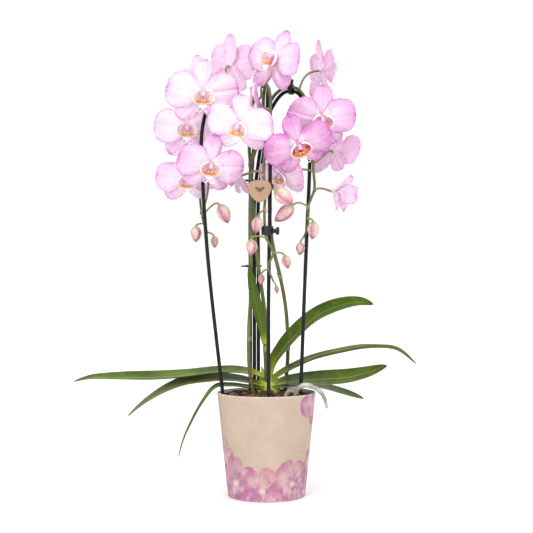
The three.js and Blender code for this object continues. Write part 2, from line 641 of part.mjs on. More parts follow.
// A band round a wire, square to it, and round the other lines that pass through its plane. Each
// line is a curve and its radius. `trim` gives geometries beside the band: its argument is the
// middle of the band's outermost circle and the distance from there to the band's outside.
function band(host, place, others, { height, wall, trim = () => [] }) {
  const origin = host.getPoint(nearest(host, V(...place)));
  const along = host.getTangent(nearest(host, V(...place)));
  const across = V(0, -1, 0).cross(along).normalize();
  const frame = new THREE.Matrix4().makeBasis(across, along.clone().cross(across), along);
  frame.setPosition(origin);
  const inverse = frame.clone().invert();
  const circles = others.map(([curve, radius]) => {
    const near = nearest(curve, origin, 0.05);
    const offPlane = (t) => Math.abs(curve.getPoint(t).sub(origin).dot(along));
    const ways = Array.from({ length: 121 }, (_, i) => near + (i - 60) * 5e-4);
    const crossing = ways.reduce((best, t) => (offPlane(t) < offPlane(best) ? t : best));
    const { x, y } = curve.getPoint(crossing).applyMatrix4(inverse);
    return { x, y, radius };
  });
  circles.push({ x: 0, y: 0, radius: WIRE.radius });
  const shape = new THREE.Shape(bandOutline(circles, SLACK + wall));
  shape.holes.push(new THREE.Path(bandOutline(circles, SLACK)));
  const ring = new THREE.ExtrudeGeometry(shape, { depth: height, bevelEnabled: false });
  ring.translate(0, 0, -height / 2);
  const outer = circles.reduce((far, one) => (one.x + one.radius > far.x + far.radius ? one : far));
  const parts = [ring, ...trim(outer, outer.radius + SLACK + wall)];
  return fuse(parts.map((part) => toSolid(part.applyMatrix4(frame))));
}

const boxAt = (x, y, turn, ...size) =>
  new THREE.BoxGeometry(...size).rotateZ(turn).translate(x, y, 0);
const knobDisc = (x, y, radius, depth) =>
  new THREE.CylinderGeometry(radius, radius, depth, 8).rotateZ(Math.PI / 2).translate(x, y, 0);
const tieTail = ({ x, y }, edge) => [boxAt(x + edge + 3, y, -0.15, 8, 1.2, 2)];
const ears = ({ x, y }, edge) => [
  boxAt(x + edge + 1.6, y + 0.8, 0.4, 6, 1.6, 4),
  boxAt(x + edge + 1.6, y - 0.8, -0.4, 6, 1.6, 4),
];
const knob = ({ x, y }, edge) => [
  knobDisc(x + edge + 1.5, y, 2.6, 5),
  knobDisc(x + edge + 5, y, 4.6, 3.2),
];

function addTiesAndClips() {
  const { left, right, front } = hoopCurve;
  const wire = (name) => [hoopCurve[name], WIRE.radius];
  const stem = (name) => [spikeCurve[name], STEM.footRadius];
  const tie = { height: 2.4, wall: 1, trim: tieTail };
  const clip = { height: 5, wall: 1.4, trim: ears };
  const bands = {
    tie_low: band(front, [-10, 26, 277], [wire("left"), wire("right")], tie),
    tie_middle: band(right, [-13, 26, 384], [wire("left"), wire("front"), stem("left")], tie),
    tie_high: band(right, [-5, 24, 432], [wire("front"), stem("centre")], tie),
    clip_knob: band(front, [4, -50, 322], [stem("centre")], { height: 11, wall: 1.5, trim: knob }),
    clip_left: band(left, [-34, 6, 485], [stem("left")], clip),
    clip_right: band(right, [30, 1, 492], [stem("right")], clip),
    clip_tag: band(front, [4.2, -50, 371], [stem("centre")], { height: 7, wall: 1.2 }),
  };
  for (const [name, solid] of Object.entries(bands)) {
    addMesh(name, toGeometry(solid), COLOURS.black, 0.4);
  }
}

// ---------------------------------------------------------------- tag
// The tag is a rounded triangle with its point down, which stands against its clip.
function addTag() {
  const half = TAG.width / 2;
  const shape = new THREE.Shape();
  shape.moveTo(0, -half * 1.1);
  shape.bezierCurveTo(half * 0.7, -half * 0.95, half * 1.3, half * 0.1, half * 0.95, half * 0.62);
  shape.bezierCurveTo(half * 0.7, half * 1.02, -half * 0.7, half * 1.02, -half * 0.95, half * 0.62);
  shape.bezierCurveTo(-half * 1.3, half * 0.1, -half * 0.7, -half * 0.95, 0, -half * 1.1);
  const plate = { depth: TAG.thickness, bevelEnabled: false, curveSegments: 6 };
  const solid = toSolid(new THREE.ExtrudeGeometry(shape, plate));
  const mesh = addMesh("tag", toGeometry(solid), COLOURS.tag, 0.8);
  mesh.position.set(TAG.x, TAG.y, TAG.z);
  mesh.rotation.set(Math.PI / 2, degToRad(TAG.turn), 0);
}

// ---------------------------------------------------------------- assembly
function addPotsAndBark() {
  const outer = taperedPot(potRadius, 0, POT.height, POT.wall, POT.floor, POT.segments);
  const { wall, segments } = GROW_POT;
  const inner = taperedPot(growPotRadius, growPotFoot, growPotRim, wall, wall, segments);
  const standing = [
    crown(HOLE),
    ...Object.keys(HOOPS).map((name) => hoop(name, HOLE)),
    ...Object.keys(SPIKES).map(lowStem),
    ...Object.values(ROOTS).map((shape) => root(shape, HOLE)),
  ];
  addMesh("pot", toGeometry(outer), COLOURS.card, 0.75);
  addMesh("grow_pot", toGeometry(inner), COLOURS.black, 0.5);
  addMesh("bark", toGeometry(bark(standing)), COLOURS.bark, 0.9);
}

function addFoliage() {
  const sheaths = cutAway(crown(), Object.keys(SPIKES).map(lowStem));
  addMesh("crown", toGeometry(sheaths), COLOURS.crown);
  for (const [name, shape] of Object.entries(LEAVES)) {
    const body = leaf(shape, LEAF.rows, LEAF.columns).subtract(crown(GAP));
    addMesh(name, toGeometry(body), COLOURS.leaf);
  }
  const narrow = leaf(BRACT_LEAF, LEAF.narrowRows, LEAF.narrowColumns);
  addMesh("leaf_bract", toGeometry(narrow), COLOURS.bract);
  for (const [name, shape] of Object.entries(ROOTS)) {
    addMesh(name, toGeometry(root(shape)), COLOURS.root, 0.8);
  }
}

addPotsAndBark();
addFoliage();
for (const name of Object.keys(HOOPS)) addMesh(`hoop_${name}`, toGeometry(hoop(name)), COLOURS.black, 0.35);
for (const name of Object.keys(SPIKES)) addMesh(`spike_${name}`, toGeometry(spike(name)), COLOURS.stem);
Object.entries(BLOOMS).forEach(addBloom);
addTiesAndClips();
addTag();

export default group;
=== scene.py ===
"""A potted moth orchid: fine petals, lips, buds, leaves, bark, wires, ties and a printed pot.

Lengths in the shape functions are millimetres in the part's frame, and each mesh is in metres.
The plant's front looks along -Y.
"""

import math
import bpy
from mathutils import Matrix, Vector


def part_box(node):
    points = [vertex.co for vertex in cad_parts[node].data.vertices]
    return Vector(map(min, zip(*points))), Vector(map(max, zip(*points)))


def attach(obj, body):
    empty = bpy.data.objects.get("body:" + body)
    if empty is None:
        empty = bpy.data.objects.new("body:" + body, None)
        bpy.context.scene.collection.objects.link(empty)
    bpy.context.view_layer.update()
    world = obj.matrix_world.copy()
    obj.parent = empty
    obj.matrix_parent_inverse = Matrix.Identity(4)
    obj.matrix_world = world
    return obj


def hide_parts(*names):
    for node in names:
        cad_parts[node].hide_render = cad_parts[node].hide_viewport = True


bl_info = {
    "name": "Potted Moth Orchid",
    "version": (1, 0, 0),
    "blender": (4, 5, 0),
    "location": "3D View > Sidebar > Orchid",
    "description": "Builds the fine pieces of a potted moth orchid round its solids",
    "category": "Add Mesh",
}

from typing import NamedTuple

import bpy
import numpy as np
from bpy.props import FloatProperty, FloatVectorProperty, IntProperty, PointerProperty

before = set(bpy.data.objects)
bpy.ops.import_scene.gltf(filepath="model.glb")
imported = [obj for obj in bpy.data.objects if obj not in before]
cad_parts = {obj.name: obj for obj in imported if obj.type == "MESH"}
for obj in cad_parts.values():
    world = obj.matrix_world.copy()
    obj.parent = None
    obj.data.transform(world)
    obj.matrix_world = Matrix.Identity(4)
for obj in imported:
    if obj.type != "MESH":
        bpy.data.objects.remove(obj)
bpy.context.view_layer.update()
MM = 0.001

# ------------------------------------------------------------------ the plant's plan
# These places are the solids' own: the wires, stems, blooms, buds and leaves follow them.
CROWN = {"x": 3.0, "y": 2.0, "foot": 100.0, "height": 48.0, "depth": 0.77}
BLOOM_RADIUS = 43.0
BARK_BRIM = 120.1  # height of the bark where it meets the grow pot

HOOPS = {
    "left": [
        (-20, 26, 60), (-20, 26, 130), (-20, 26, 260), (-20, 26, 360), (-17, 24, 410),
        (-15, 21, 440), (-22, 14, 470), (-38, 4, 488), (-56, -4, 490), (-70, -9, 473),
        (-78, -12, 440), (-77.2, -12, 385), (-71, -12, 290), (-57, -12, 160), (-45, -9, 60),
    ],
    "right": [
        (-15, 26, 60), (-15, 26, 130), (-15, 26, 260), (-15, 26, 360), (-11, 25.5, 400),
        (-5, 24, 437), (6, 16, 472), (22, 6, 491), (38, -3, 489), (48, -10, 468),
        (52, -14, 435), (52, -15, 400), (48.3, -15, 310), (45.4, -15, 238), (41.5, -15, 134),
        (38.5, -15, 60),
    ],
    "front": [
        (-10, 26, 60), (-10, 26, 130), (-10, 26, 260), (-10, 26, 360), (-6, 22, 400),
        (-1, 17, 437), (1, 9, 470), (1.5, -6, 488), (2.5, -22, 492), (3.5, -38, 481),
        (4.3, -48, 455), (4.3, -50, 403), (4.1, -50, 356), (2.4, -50, 239), (2.5, -50, 132),
        (2.5, -46, 60),
    ],
}
BESIDE = 5.4  # from a wire's middle line to the stem that runs along it


class Bloom(NamedTuple):
    """Where a bloom is, which way it faces, and its looks. Its name starts with its spike's."""

    middle: tuple
    facing: tuple  # turn, tilt and roll in degrees
    size: float
    start: tuple  # where on the spike its stalk starts
    leave: tuple  # the way that the stalk sets out
    tone: float  # how deep its pink is
    opened: float = 1.0


class Leaf(NamedTuple):
    """A leaf's midrib, the way that its width runs at the base and the tip, and its looks."""

    midrib: list
    sides: tuple
    width: float
    channel: float  # how far its rims rise, as a share of its width
    olive: float
    # A tan below 0 is painted shade: it darkens the whole leaf beyond its base.
    tan: float  # how tan it is, or how much darker if it is below 0


BLOOMS = {
    "left_top": Bloom((-76, -44, 482), (12, -20, 0), 1.02, (-66, -4, 484), (0, -1, 0.5), 0.15),
    "left_back": Bloom((-90, 24, 507), (-48, 4, -5), 0.86, (-58, 2, 492), (-0.6, 0.7, 0.6), 0.3),
    "left_crest": Bloom((-43, 23, 526), (133, 6, -8), 0.98, (-42, 6, 492), (0, -0.3, 1), 0.25),
    "left_middle": Bloom((-96, 4, 446), (0, -6, 0), 0.97, (-82, 13, 425), (-0.4, 0.8, 0.4), 0.2),
    "left_low": Bloom((-67, -45.5, 397), (12, -22, 8), 0.94, (-79, 8, 346), (0.6, -0.2, 1), 0.55),
    "left_lowest": Bloom((-97, -1, 385), (8, -22, -6), 0.88, (-82, 12, 380), (-0.3, 0.9, 0.4), 0.3),
    "centre_crest": Bloom((9, -31, 524), (-38, 12, 14), 0.97, (0, -8, 493), (0.2, 0, 1), 0.6),
    "centre_side": Bloom((-13.5, -31, 477), (-84, -6, 0), 0.74, (1, -12, 494), (-1, 0.2, 0.3), 0.85),
    "centre_front": Bloom((-31, -73, 441), (-22, -26, 10), 0.95, (2, -50, 462), (-0.6, 0.2, 0.5), 0.05),
    "centre_low": Bloom((-37.5, -4, 387), (-112, -10, 4), 0.66, (-3.3, -54, 386), (-0.3, 0.6, 0.3), 0.75),
    "right_crest": Bloom((69, 14, 519), (105, 4, 0), 0.95, (43, -4, 494), (0.3, 0, 1), 0.5),
    "right_top": Bloom((64, -42, 453), (14, -26, 2), 1, (57, -14, 450), (0.6, -0.5, 0.5), 0.7),
    "right_front": Bloom((37.5, -70, 418), (16, -30, -24), 0.95, (57, -18, 420), (-0.1, -1, 0.2), 1.15),
    "right_back": Bloom((83, 2, 417), (140, -18, 0), 0.86, (56, -21, 402), (1, -0.3, 0.3), 0.8),
    "right_inner": Bloom((18, -31, 386), (-34, -24, 0), 0.74, (57, -22, 392), (-0.8, 0.3, 0.4), 0.5),
    "right_opening": Bloom((82, -14, 368), (72, -16, 0), 0.74, (57.5, -22, 371), (1, 0.1, 0.3), 0.25, 0.5),
}

# Each bud: foot, tip, width, and where on the spike its stalk starts.
BUDS = {
    "left": [
        ((-57, -5, 353), (-47, -5, 331), 16, (-79, 4, 342)),
        ((-86, -5, 327), (-86, -5, 308), 13, (-76, -1, 331)),
        ((-64, -4, 315), (-63, -4, 301), 9.4, (-71.5, -5, 320)),
    ],
    "centre": [
        ((10, -62, 368), (30, -62, 350), 18, (-1.3, -55, 364)),
        ((-10, -63, 336), (-13, -64, 317), 13, (-2.4, -56, 345)),
        ((-18, -62, 310), (-18, -62, 291), 12.5, (0, -57, 312)),
        ((21, -60, 291), (25, -60, 276), 10.5, (7.5, -58, 294)),
        ((-6, -60, 269), (-7, -60, 257), 8, (2, -59, 276)),
        ((11, -59.5, 256), (12.5, -59.5, 246.5), 5.6, (8, -59, 261)),
    ],
    "right": [
        ((31, -40, 351), (10, -40, 332), 16.4, (50, -23, 350)),
        ((56, -27, 332), (54.5, -28, 311), 14.4, (50, -23, 336)),
        ((40.5, -23, 307), (39.5, -23, 292), 10.8, (44.5, -22, 313)),
    ],
}

LEAVES = {
    "leaf_left_long": Leaf(
        [(-2, 2, 142), (-16, 4, 147), (-36, 10, 149.5), (-60, 15, 148.5), (-100, 14, 144),
         (-140, 8, 142), (-180, 2, 142.5), (-214, -2, 142.5), (-234, -3, 138.5)],
        ((0, 1, 0.12), (0, 1, 0.2)), 40, 0.1, 0.1, 0.0),
    "leaf_left_drooping": Leaf(
        [(-2, 2, 132), (-18, 4, 136.5), (-40, 9, 140), (-66, 12, 140), (-96, 6, 137),
         (-124, -2, 127), (-148, -6, 113), (-168, -8, 97)],
        ((0, 1, 0.12), (0.1, 1, 0.3)), 38, 0.08, 0.6, 0.5),
    "leaf_left_hanging": Leaf(
        [(-4, 0, 130), (-22, 2, 131.5), (-44, 4, 133), (-62, 4, 131), (-78, 2, 113),
         (-91, 0, 90), (-101, -1, 68), (-107, -2, 47)],
        ((0, 1, 0.05), (0, 1, 0.05)), 24, 0.08, 0.1, 0.4),
    "leaf_right_high": Leaf(
        [(5, -1, 144), (10, -2, 162), (21, -1, 178), (38, 5, 197), (62, 11, 217), (88, 11, 229),
         (112, 7, 234), (130, 0, 232)],
        ((-0.3, 1, 0.25), (0, 1, 0.65)), 36, 0.12, 0.1, -0.25),
    "leaf_right_long": Leaf(
        [(6, 0, 139), (18, 2, 147), (36, 6, 156), (58, 11, 165), (90, 12, 173), (126, 10, 179),
         (158, 4, 177), (182, -4, 160)],
        ((-0.1, 1, 0.14), (0, 1, -0.16)), 34, 0.12, 0.5, 0.4),
    "leaf_right_broad": Leaf(
        [(6, 1, 133), (20, 3, 137), (42, 9, 139), (66, 11, 139.5), (96, 10, 141.5), (124, 7, 148),
         (147, 3, 157)],
        ((0, 1, 0.16), (0, 1, 0.62)), 38, 0.08, 0.15, 0.05),
    "leaf_right_low": Leaf(
        [(8, 1, 131), (24, 4, 132), (40, 18, 131.5), (54, 32, 131), (76, 39, 126.5),
         (100, 38, 120), (121, 34, 113.5)],
        ((-0.3, 1, 0.05), (-0.1, 1, 0.34)), 32, 0.06, 0.0, -0.45),
}
BRACT_LEAF = Leaf(
    [(-3, -8.7, 184), (-4.5, -10.5, 198), (-8.5, -11, 216), (-14, -11, 240), (-18, -9, 262),
     (-20.5, -7, 282)],
    ((1, -0.6, 0), (1, 0.3, 0.1)), 13, 0.2, 0.1, -0.6)

ROOTS = {
    "root_hanging": (
        [(33, -19, 112), (37, -22, 130), (45, -24, 136), (54, -25, 134.5), (64, -26, 129),
         (69, -27, 121), (72, -27, 110)], 3.1),
    "root_short": (
        [(21, -30, 104), (22, -32, 120), (26, -32, 129), (32, -30, 129), (36, -28, 112)], 2.6),
}

# Stem joints, as places near the spike that they ring.
JOINTS = {
    "left": [
        (-2, -5, 176), (-12, 18, 300), (-20, 17, 400), (-82, 14, 425), (-79, 8, 346),
        (-76, -1, 331)],
    "centre": [(-22, -6, 188), (-19, 15, 300), (-3.3, -54, 386), (-2.4, -56, 345), (0, -57, 312)],
    "right": [
        (26.5, 27.5, 176), (17, 18, 265), (4, 7, 345), (57.5, -22, 371), (50, -23, 350),
        (50, -23, 336)],
}


# ------------------------------------------------------------------ lines and numbers
def unit(vectors):
    """Each vector divided by its length."""
    lengths = np.linalg.norm(vectors, axis=-1, keepdims=True)
    return vectors / np.maximum(lengths, 1e-12)


def turned(axis, degrees):
    """The 3 by 3 matrix that turns by so many degrees about the x, y or z axis."""
    c, s = math.cos(math.radians(degrees)), math.sin(math.radians(degrees))
    i, j = {"x": (1, 2), "y": (2, 0), "z": (0, 1)}[axis]
    matrix = np.eye(3)
    matrix[i, i] = matrix[j, j] = c
    matrix[i, j], matrix[j, i] = -s, s
    return matrix


def ease(value, low, high):
    """0 below low, 1 above high, and 3t^2 - 2t^3 between them."""
    share = np.clip((value - low) / (high - low), 0, 1)
    return share * share * (3 - 2 * share)


def angles(count):
    """So many even angles round a full turn, the first of them 0."""
    return np.linspace(0, 2 * np.pi, count, endpoint=False)


def travelled(points):
    """The length of a line up to each of its points."""
    return np.concatenate([[0], np.cumsum(np.linalg.norm(np.diff(points, axis=0), axis=1))])


def bell(value, middle, width):
    """A bump of height 1 at the middle: e to minus the square of the distance over the width."""
    return np.exp(-(((value - middle) / width) ** 2))


def draws(seed):
    """Seeded numbers from 0 to 1, the same ones that shape the solids' petals."""
    state = seed
    whole = 0xFFFFFFFF
    while True:
        state = (state + 0x6D2B79F5) & whole
        mixed = ((state ^ (state >> 15)) * (1 | state)) & whole
        mixed = ((mixed + (((mixed ^ (mixed >> 7)) * (61 | mixed)) & whole)) & whole) ^ mixed
        yield (mixed ^ (mixed >> 14)) / 2**32


class Course:
    """A smooth line through given places: a centripetal Catmull-Rom curve, from 0 to 1."""

    def __init__(self, places):
        inner = np.asarray(places, float)
        points = np.vstack([2 * inner[0] - inner[1], inner, 2 * inner[-1] - inner[-2]])
        steps = np.sqrt(np.linalg.norm(np.diff(points, axis=0), axis=1))[:, None]
        before, here, after = steps[:-2], steps[1:-1], steps[2:]
        p, q, r, s = points[:-3], points[1:-2], points[2:-1], points[3:]
        out = ((q - p) / before - (r - p) / (before + here) + (r - q) / here) * here
        into = ((r - q) / here - (s - q) / (here + after) + (s - r) / after) * here
        self.terms = (q, out, 3 * (r - q) - 2 * out - into, 2 * (q - r) + out + into)
        self.count = len(inner) - 1

    def at(self, shares):
        """Points at shares of the parameter."""
        place = np.clip(np.asarray(shares, float), 0, 1) * self.count
        piece = np.minimum(place.astype(int), self.count - 1)
        rest = (place - piece)[..., None]
        a, b, c, d = (term[piece] for term in self.terms)
        return a + rest * (b + rest * (c + rest * d))

    def way(self, shares):
        """Unit directions at shares of the parameter."""
        shares = np.asarray(shares, float)
        return unit(self.at(np.minimum(shares + 1e-4, 1)) - self.at(np.maximum(shares - 1e-4, 0)))

    def by_length(self, shares):
        """The parameters at shares of the line's length."""
        table = np.linspace(0, 1, 201)
        lengths = travelled(self.at(table))
        return np.interp(np.asarray(shares) * lengths[-1], lengths, table)

    def nearest(self, place, low=0.0, high=1.0):
        """The parameter, between two others, at which the line passes nearest to a place."""
        ways = np.linspace(low, high, 401)
        return ways[np.argmin(np.linalg.norm(self.at(ways) - np.asarray(place, float), axis=1))]


def bezier(first, second, third, last, count):
    """Points along a cubic Bezier line."""
    first, second, third, last = (np.asarray(p, float) for p in (first, second, third, last))
    t = np.linspace(0, 1, count)[:, None]
    s = 1 - t
    return s**3 * first + 3 * s * s * t * second + 3 * s * t * t * third + t**3 * last


HOOP_LINES = {name: Course(places) for name, places in HOOPS.items()}


def beside_hoop(name, rise, fall, count, turns):
    """Places beside a hoop's arch: the wire's own points, moved outwards by a fixed distance.

    The way out turns from the first of the two angles to the second, from straight outwards (0)
    to the hoop's left or back (90).
    """
    line = HOOP_LINES[name]
    middle = line.at(0.5)
    top = line.nearest((middle[0], middle[1], 900), 0.3, 0.7)
    start, end = line.nearest(rise, 0.1, top), line.nearest(fall, top, 0.9)
    span = line.at(0.0) - line.at(1.0)
    back = unit(np.array([span[1], -span[0], 0.0]))
    back = -back if back[1] < back[0] else back
    share = np.linspace(0, 1, count)
    ways = start + (end - start) * share
    outward = unit(np.cross(line.way(ways), back))
    outward *= np.where(outward[:, 2:] < 0, -1, 1)
    turn = np.radians(turns[0] + (turns[1] - turns[0]) * share)[:, None]
    places = line.at(ways) + BESIDE * (outward * np.cos(turn) + back * np.sin(turn))
    return [tuple(place) for place in places]


SPIKES = {
    "left": [
        (1, 1, 106), (-0.5, -4, 152), (-1.8, -5, 183), (-0.6, 0, 206), (-5, 9, 245),
        (-11, 17, 285), (-15.5, 20, 330), (-18, 19, 380), (-21, 17, 420),
        *beside_hoop("left", (-20, 16, 462), (-68, -8, 478), 5, (90, 70)),
        (-73, 5, 474), (-79, 12, 458), (-81.5, 14, 440), (-82.5, 17, 400), (-82.5, 19.5, 372),
        (-80.5, 12, 350), (-76.5, -1, 331), (-71.5, -5, 319),
    ],
    "centre": [
        (-12, -12, 106), (-16.5, -14, 128), (-20.5, -13, 155), (-21.5, -2, 200), (-19.5, 12, 240),
        (-19, 15, 300), (-19.5, 14.5, 350), (-19, 10, 400), (-10, 9, 433),
        *beside_hoop("front", (0, 12, 462), (4, -44, 470), 5, (80, 0)),
        (0, -54.5, 430), (-3, -55, 398), (-3.3, -54, 386), (-1.4, -55.5, 365), (-2.4, -56, 345),
        (-2, -56.5, 327), (0, -57, 312), (7.5, -58, 294), (3.6, -59, 283), (2, -59, 276),
        (8, -59, 261),
    ],
    "right": [
        (12, 16, 104), (22, 26, 122), (25, 27.5, 145), (26.5, 27.5, 176), (24, 24, 225),
        (17, 18, 265), (9, 12, 298), (5, 8, 325), (3.5, 7, 360), (4, 8, 400), (7, 9.5, 437),
        *beside_hoop("right", (10, 13, 478), (50, -12, 452), 5, (-55, 0)),
        (57, -17, 425), (56, -21, 400), (57.5, -22, 371), (54, -22.5, 361), (50, -23, 350),
        (50, -23, 336), (47.5, -23, 320), (44.5, -22, 313),
    ],
}
SPIKE_LINES = {name: Course(places) for name, places in SPIKES.items()}
LOW_SHARE = 10 / 32  # of a spike, below which no stalk starts


# ------------------------------------------------------------------ forms and meshes
class Form:
    """Points, faces and values at points, gathered patch by patch, in millimetres."""

    def __init__(self):
        self.points, self.quads, self.tris = [], [], []
        self.quad_finish, self.tri_finish = [], []
        self.values, self.count = {}, 0

    def patch(self, points, quads=(), tris=(), finish=0, **values):
        """Adds points and the faces between them. A value is one number or one for each point."""
        points = np.asarray(points, float).reshape(-1, 3)
        quads = np.asarray(quads, int).reshape(-1, 4)
        tris = np.asarray(tris, int).reshape(-1, 3)
        for name, value in values.items():
            filled = np.broadcast_to(np.asarray(value, float).reshape(-1), (len(points),))
            earlier = self.values.setdefault(name, [np.zeros(self.count)])
            missing = self.count - sum(len(part) for part in earlier)
            earlier += [np.zeros(missing), filled]
        self.points.append(points)
        self.quads.append(quads + self.count)
        self.tris.append(tris + self.count)
        on_quads, on_tris = finish if isinstance(finish, tuple) else (finish, finish)
        self.quad_finish.append(np.broadcast_to(on_quads, (len(quads),)))
        self.tri_finish.append(np.broadcast_to(on_tris, (len(tris),)))
        self.count += len(points)

    def move(self, matrix, offset):
        """Turns and scales the points so far by a matrix, and then shifts them."""
        self.points = [points @ np.asarray(matrix).T + np.asarray(offset) for points in self.points]

    def arrays(self):
        """All points, quads, triangles, finishes of the faces, and values at the points."""
        points = np.vstack(self.points)
        values = {}
        for name, parts in self.values.items():
            joined = np.concatenate(parts)
            values[name] = np.pad(joined, (0, self.count - len(joined)))
        finish = np.concatenate(self.quad_finish + self.tri_finish)
        return points, np.vstack(self.quads), np.vstack(self.tris), finish, values


def cells(rows, columns):
    """Corner numbers of each cell of a grid of points, with its last column joined to its first."""
    i, j = np.arange(rows - 1)[:, None], np.arange(columns)
    k = (j + 1) % columns
    corners = [i * columns + j, (i + 1) * columns + j, (i + 1) * columns + k, i * columns + k]
    return np.stack(corners, -1).reshape(-1, 4)


def grid(rows, columns):
    """A column of shares from 0 to 1 and a row of sides from -1 to 1, which together span a grid."""
    return np.linspace(0, 1, rows)[:, None], np.linspace(-1, 1, columns)[None, :]


def surface(x, y, z):
    """Points from three coordinates, each worked out over the rows, the columns or both."""
    return np.stack(np.broadcast_arrays(x, y, z), -1)


def spun(first, second, angle):
    """Two coordinates turned by an angle, from the first towards the second."""
    c, s = np.cos(angle), np.sin(angle)
    return first * c - second * s, first * s + second * c


def ring_faces(rows, sides):
    """The faces of a stack of rings, closed at each end by a pole. The poles come last."""
    k = np.arange(sides)
    n = (k + 1) % sides
    poles, top = rows * sides, (rows - 1) * sides
    tris = np.vstack([
        np.stack([k, np.full(sides, poles), n], -1),
        np.stack([k + top, n + top, np.full(sides, poles + 1)], -1)])
    return cells(rows, sides)[:, ::-1], tris


def add_blade(form, middle, thickness, **values):
    """A closed thin blade: its middle surface moved half its thickness to either side.

    The surface is a grid of rows along the blade and columns across it. The two faces are joined
    round the rim, so that each row is one closed ring. `face` is 1 on the front and 0 behind.
    """
    rows, columns, _ = middle.shape
    normal = unit(np.cross(np.gradient(middle, axis=0), np.gradient(middle, axis=1)))
    offset = normal * (np.broadcast_to(thickness, (rows, columns)) / 2)[..., None]
    ring = np.concatenate([middle + offset, (middle - offset)[:, ::-1]], axis=1)
    width = 2 * columns
    j = np.arange(columns - 1)
    foot = np.stack([j, j + 1, width - 2 - j, width - 1 - j], -1)
    tip = np.stack([j, width - 1 - j, width - 2 - j, j + 1], -1) + (rows - 1) * width
    both = {}
    for name, value in values.items():
        spread = np.broadcast_to(value, (rows, columns))
        both[name] = np.concatenate([spread, spread[:, ::-1]], axis=1)
    both["face"] = np.tile(np.repeat([1, 0], columns), rows)
    form.patch(ring, np.vstack([cells(rows, width), foot, tip]), **both)


def frames_along(line):
    """Unit ways along a line's points, and two unit sides that are square to them.

    The first side is what is left of one fixed direction, the one that the line turns least
    towards, once its share along the line is taken away.
    """
    ways = unit(np.gradient(line, axis=0))
    _, directions = np.linalg.eigh(ways.T @ ways)
    reference = directions[:, 0]
    first = unit(reference - (ways @ reference)[:, None] * ways)
    return ways, first, np.cross(ways, first)


def add_tube(form, line, radius, sides=16, cap=(0.6, 0.6), finish=0, oval=1.0, relief=1.0, **values):
    """A closed tube: a ring of points round each point of a line, and a rounded cap at each end.

    A cap is three shrinking rings and a pole, `cap` radii past the end. `along` runs from 0 to 1
    with the line and `around` from 0 to 1 round each ring. `relief` multiplies the radius at each
    point of a ring, and `oval` the second of its two half widths.
    """
    line = np.asarray(line, float)
    count = len(line)
    ways, first, second = frames_along(line)
    radius = np.broadcast_to(np.asarray(radius, float), (count,))
    foot, tip = ways[0] * radius[0] * cap[0], ways[-1] * radius[-1] * cap[1]
    lift = np.radians([68, 45, 22])
    heads = line[0] - foot * np.sin(lift)[:, None]
    tails = line[-1] + tip * np.sin(lift[::-1])[:, None]
    middles = np.vstack([heads, line, tails])
    radii = np.concatenate([radius[0] * np.cos(lift), radius, radius[-1] * np.cos(lift[::-1])])
    pick = np.clip(np.arange(-len(lift), count + len(lift)), 0, count - 1)
    angle = angles(sides)[:, None]
    spokes = first[pick][:, None] * np.cos(angle) + second[pick][:, None] * (oval * np.sin(angle))
    relief = np.broadcast_to(relief, (count, sides))[pick]
    rings = middles[:, None] + spokes * (radii[:, None] * relief)[..., None]
    carried = {"around": np.tile(angle[:, 0] / (2 * np.pi), len(pick))}
    for name, value in {"along": np.linspace(0, 1, count), **values}.items():
        carried[name] = np.repeat(np.broadcast_to(value, (count,))[pick], sides)
    closed = {name: np.append(value, value[[0, -1]]) for name, value in carried.items()}
    points = np.vstack([rings.reshape(-1, 3), line[0] - foot, line[-1] + tip])
    form.patch(points, *ring_faces(len(pick), sides), finish, **closed)


def add_turned(form, profile, outline, middle=(0, 0), finish=0, oval=1.0, **values):
    """A closed shape: an outline in plan, scaled at each level of a profile and set at its height.

    The profile starts at the bottom of the axis and runs up the outside, and its first and last
    points are the two poles. With a circle for its outline the shape is a turned one. `finish` is
    one number or one for each point of the profile: faces take that of their lower point, and
    those at the upper pole take the pole's.
    """
    profile = np.asarray(profile, float)
    inner, rows, sides = profile[1:-1], len(profile) - 2, len(outline)
    x = middle[0] + inner[:, :1] * outline[:, 0]
    y = middle[1] + inner[:, :1] * outline[:, 1] * oval
    poles = [[*middle, profile[0, 1]], [*middle, profile[-1, 1]]]
    points = np.vstack([surface(x, y, inner[:, 1:]).reshape(-1, 3), poles])
    levels = np.broadcast_to(finish, (len(profile),))
    finish = (np.repeat(levels[1:rows], sides), np.repeat(levels[[0, -1]], sides))
    form.patch(points, *ring_faces(rows, sides), finish, **values)


def add_loop(form, outline, outward, section):
    """A closed ring: a section carried round a closed outline.

    Each outline point has its outward direction. The section's two columns are its distances
    outwards and upwards, and it runs anticlockwise seen along the outline.
    """
    up = np.array([0.0, 0.0, 1.0])
    rings = outline[:, None] + outward[:, None] * section[:, :1] + up * section[:, 1:]
    rows, columns, _ = rings.shape
    form.patch(rings, cells(rows + 1, columns) % (rows * columns))


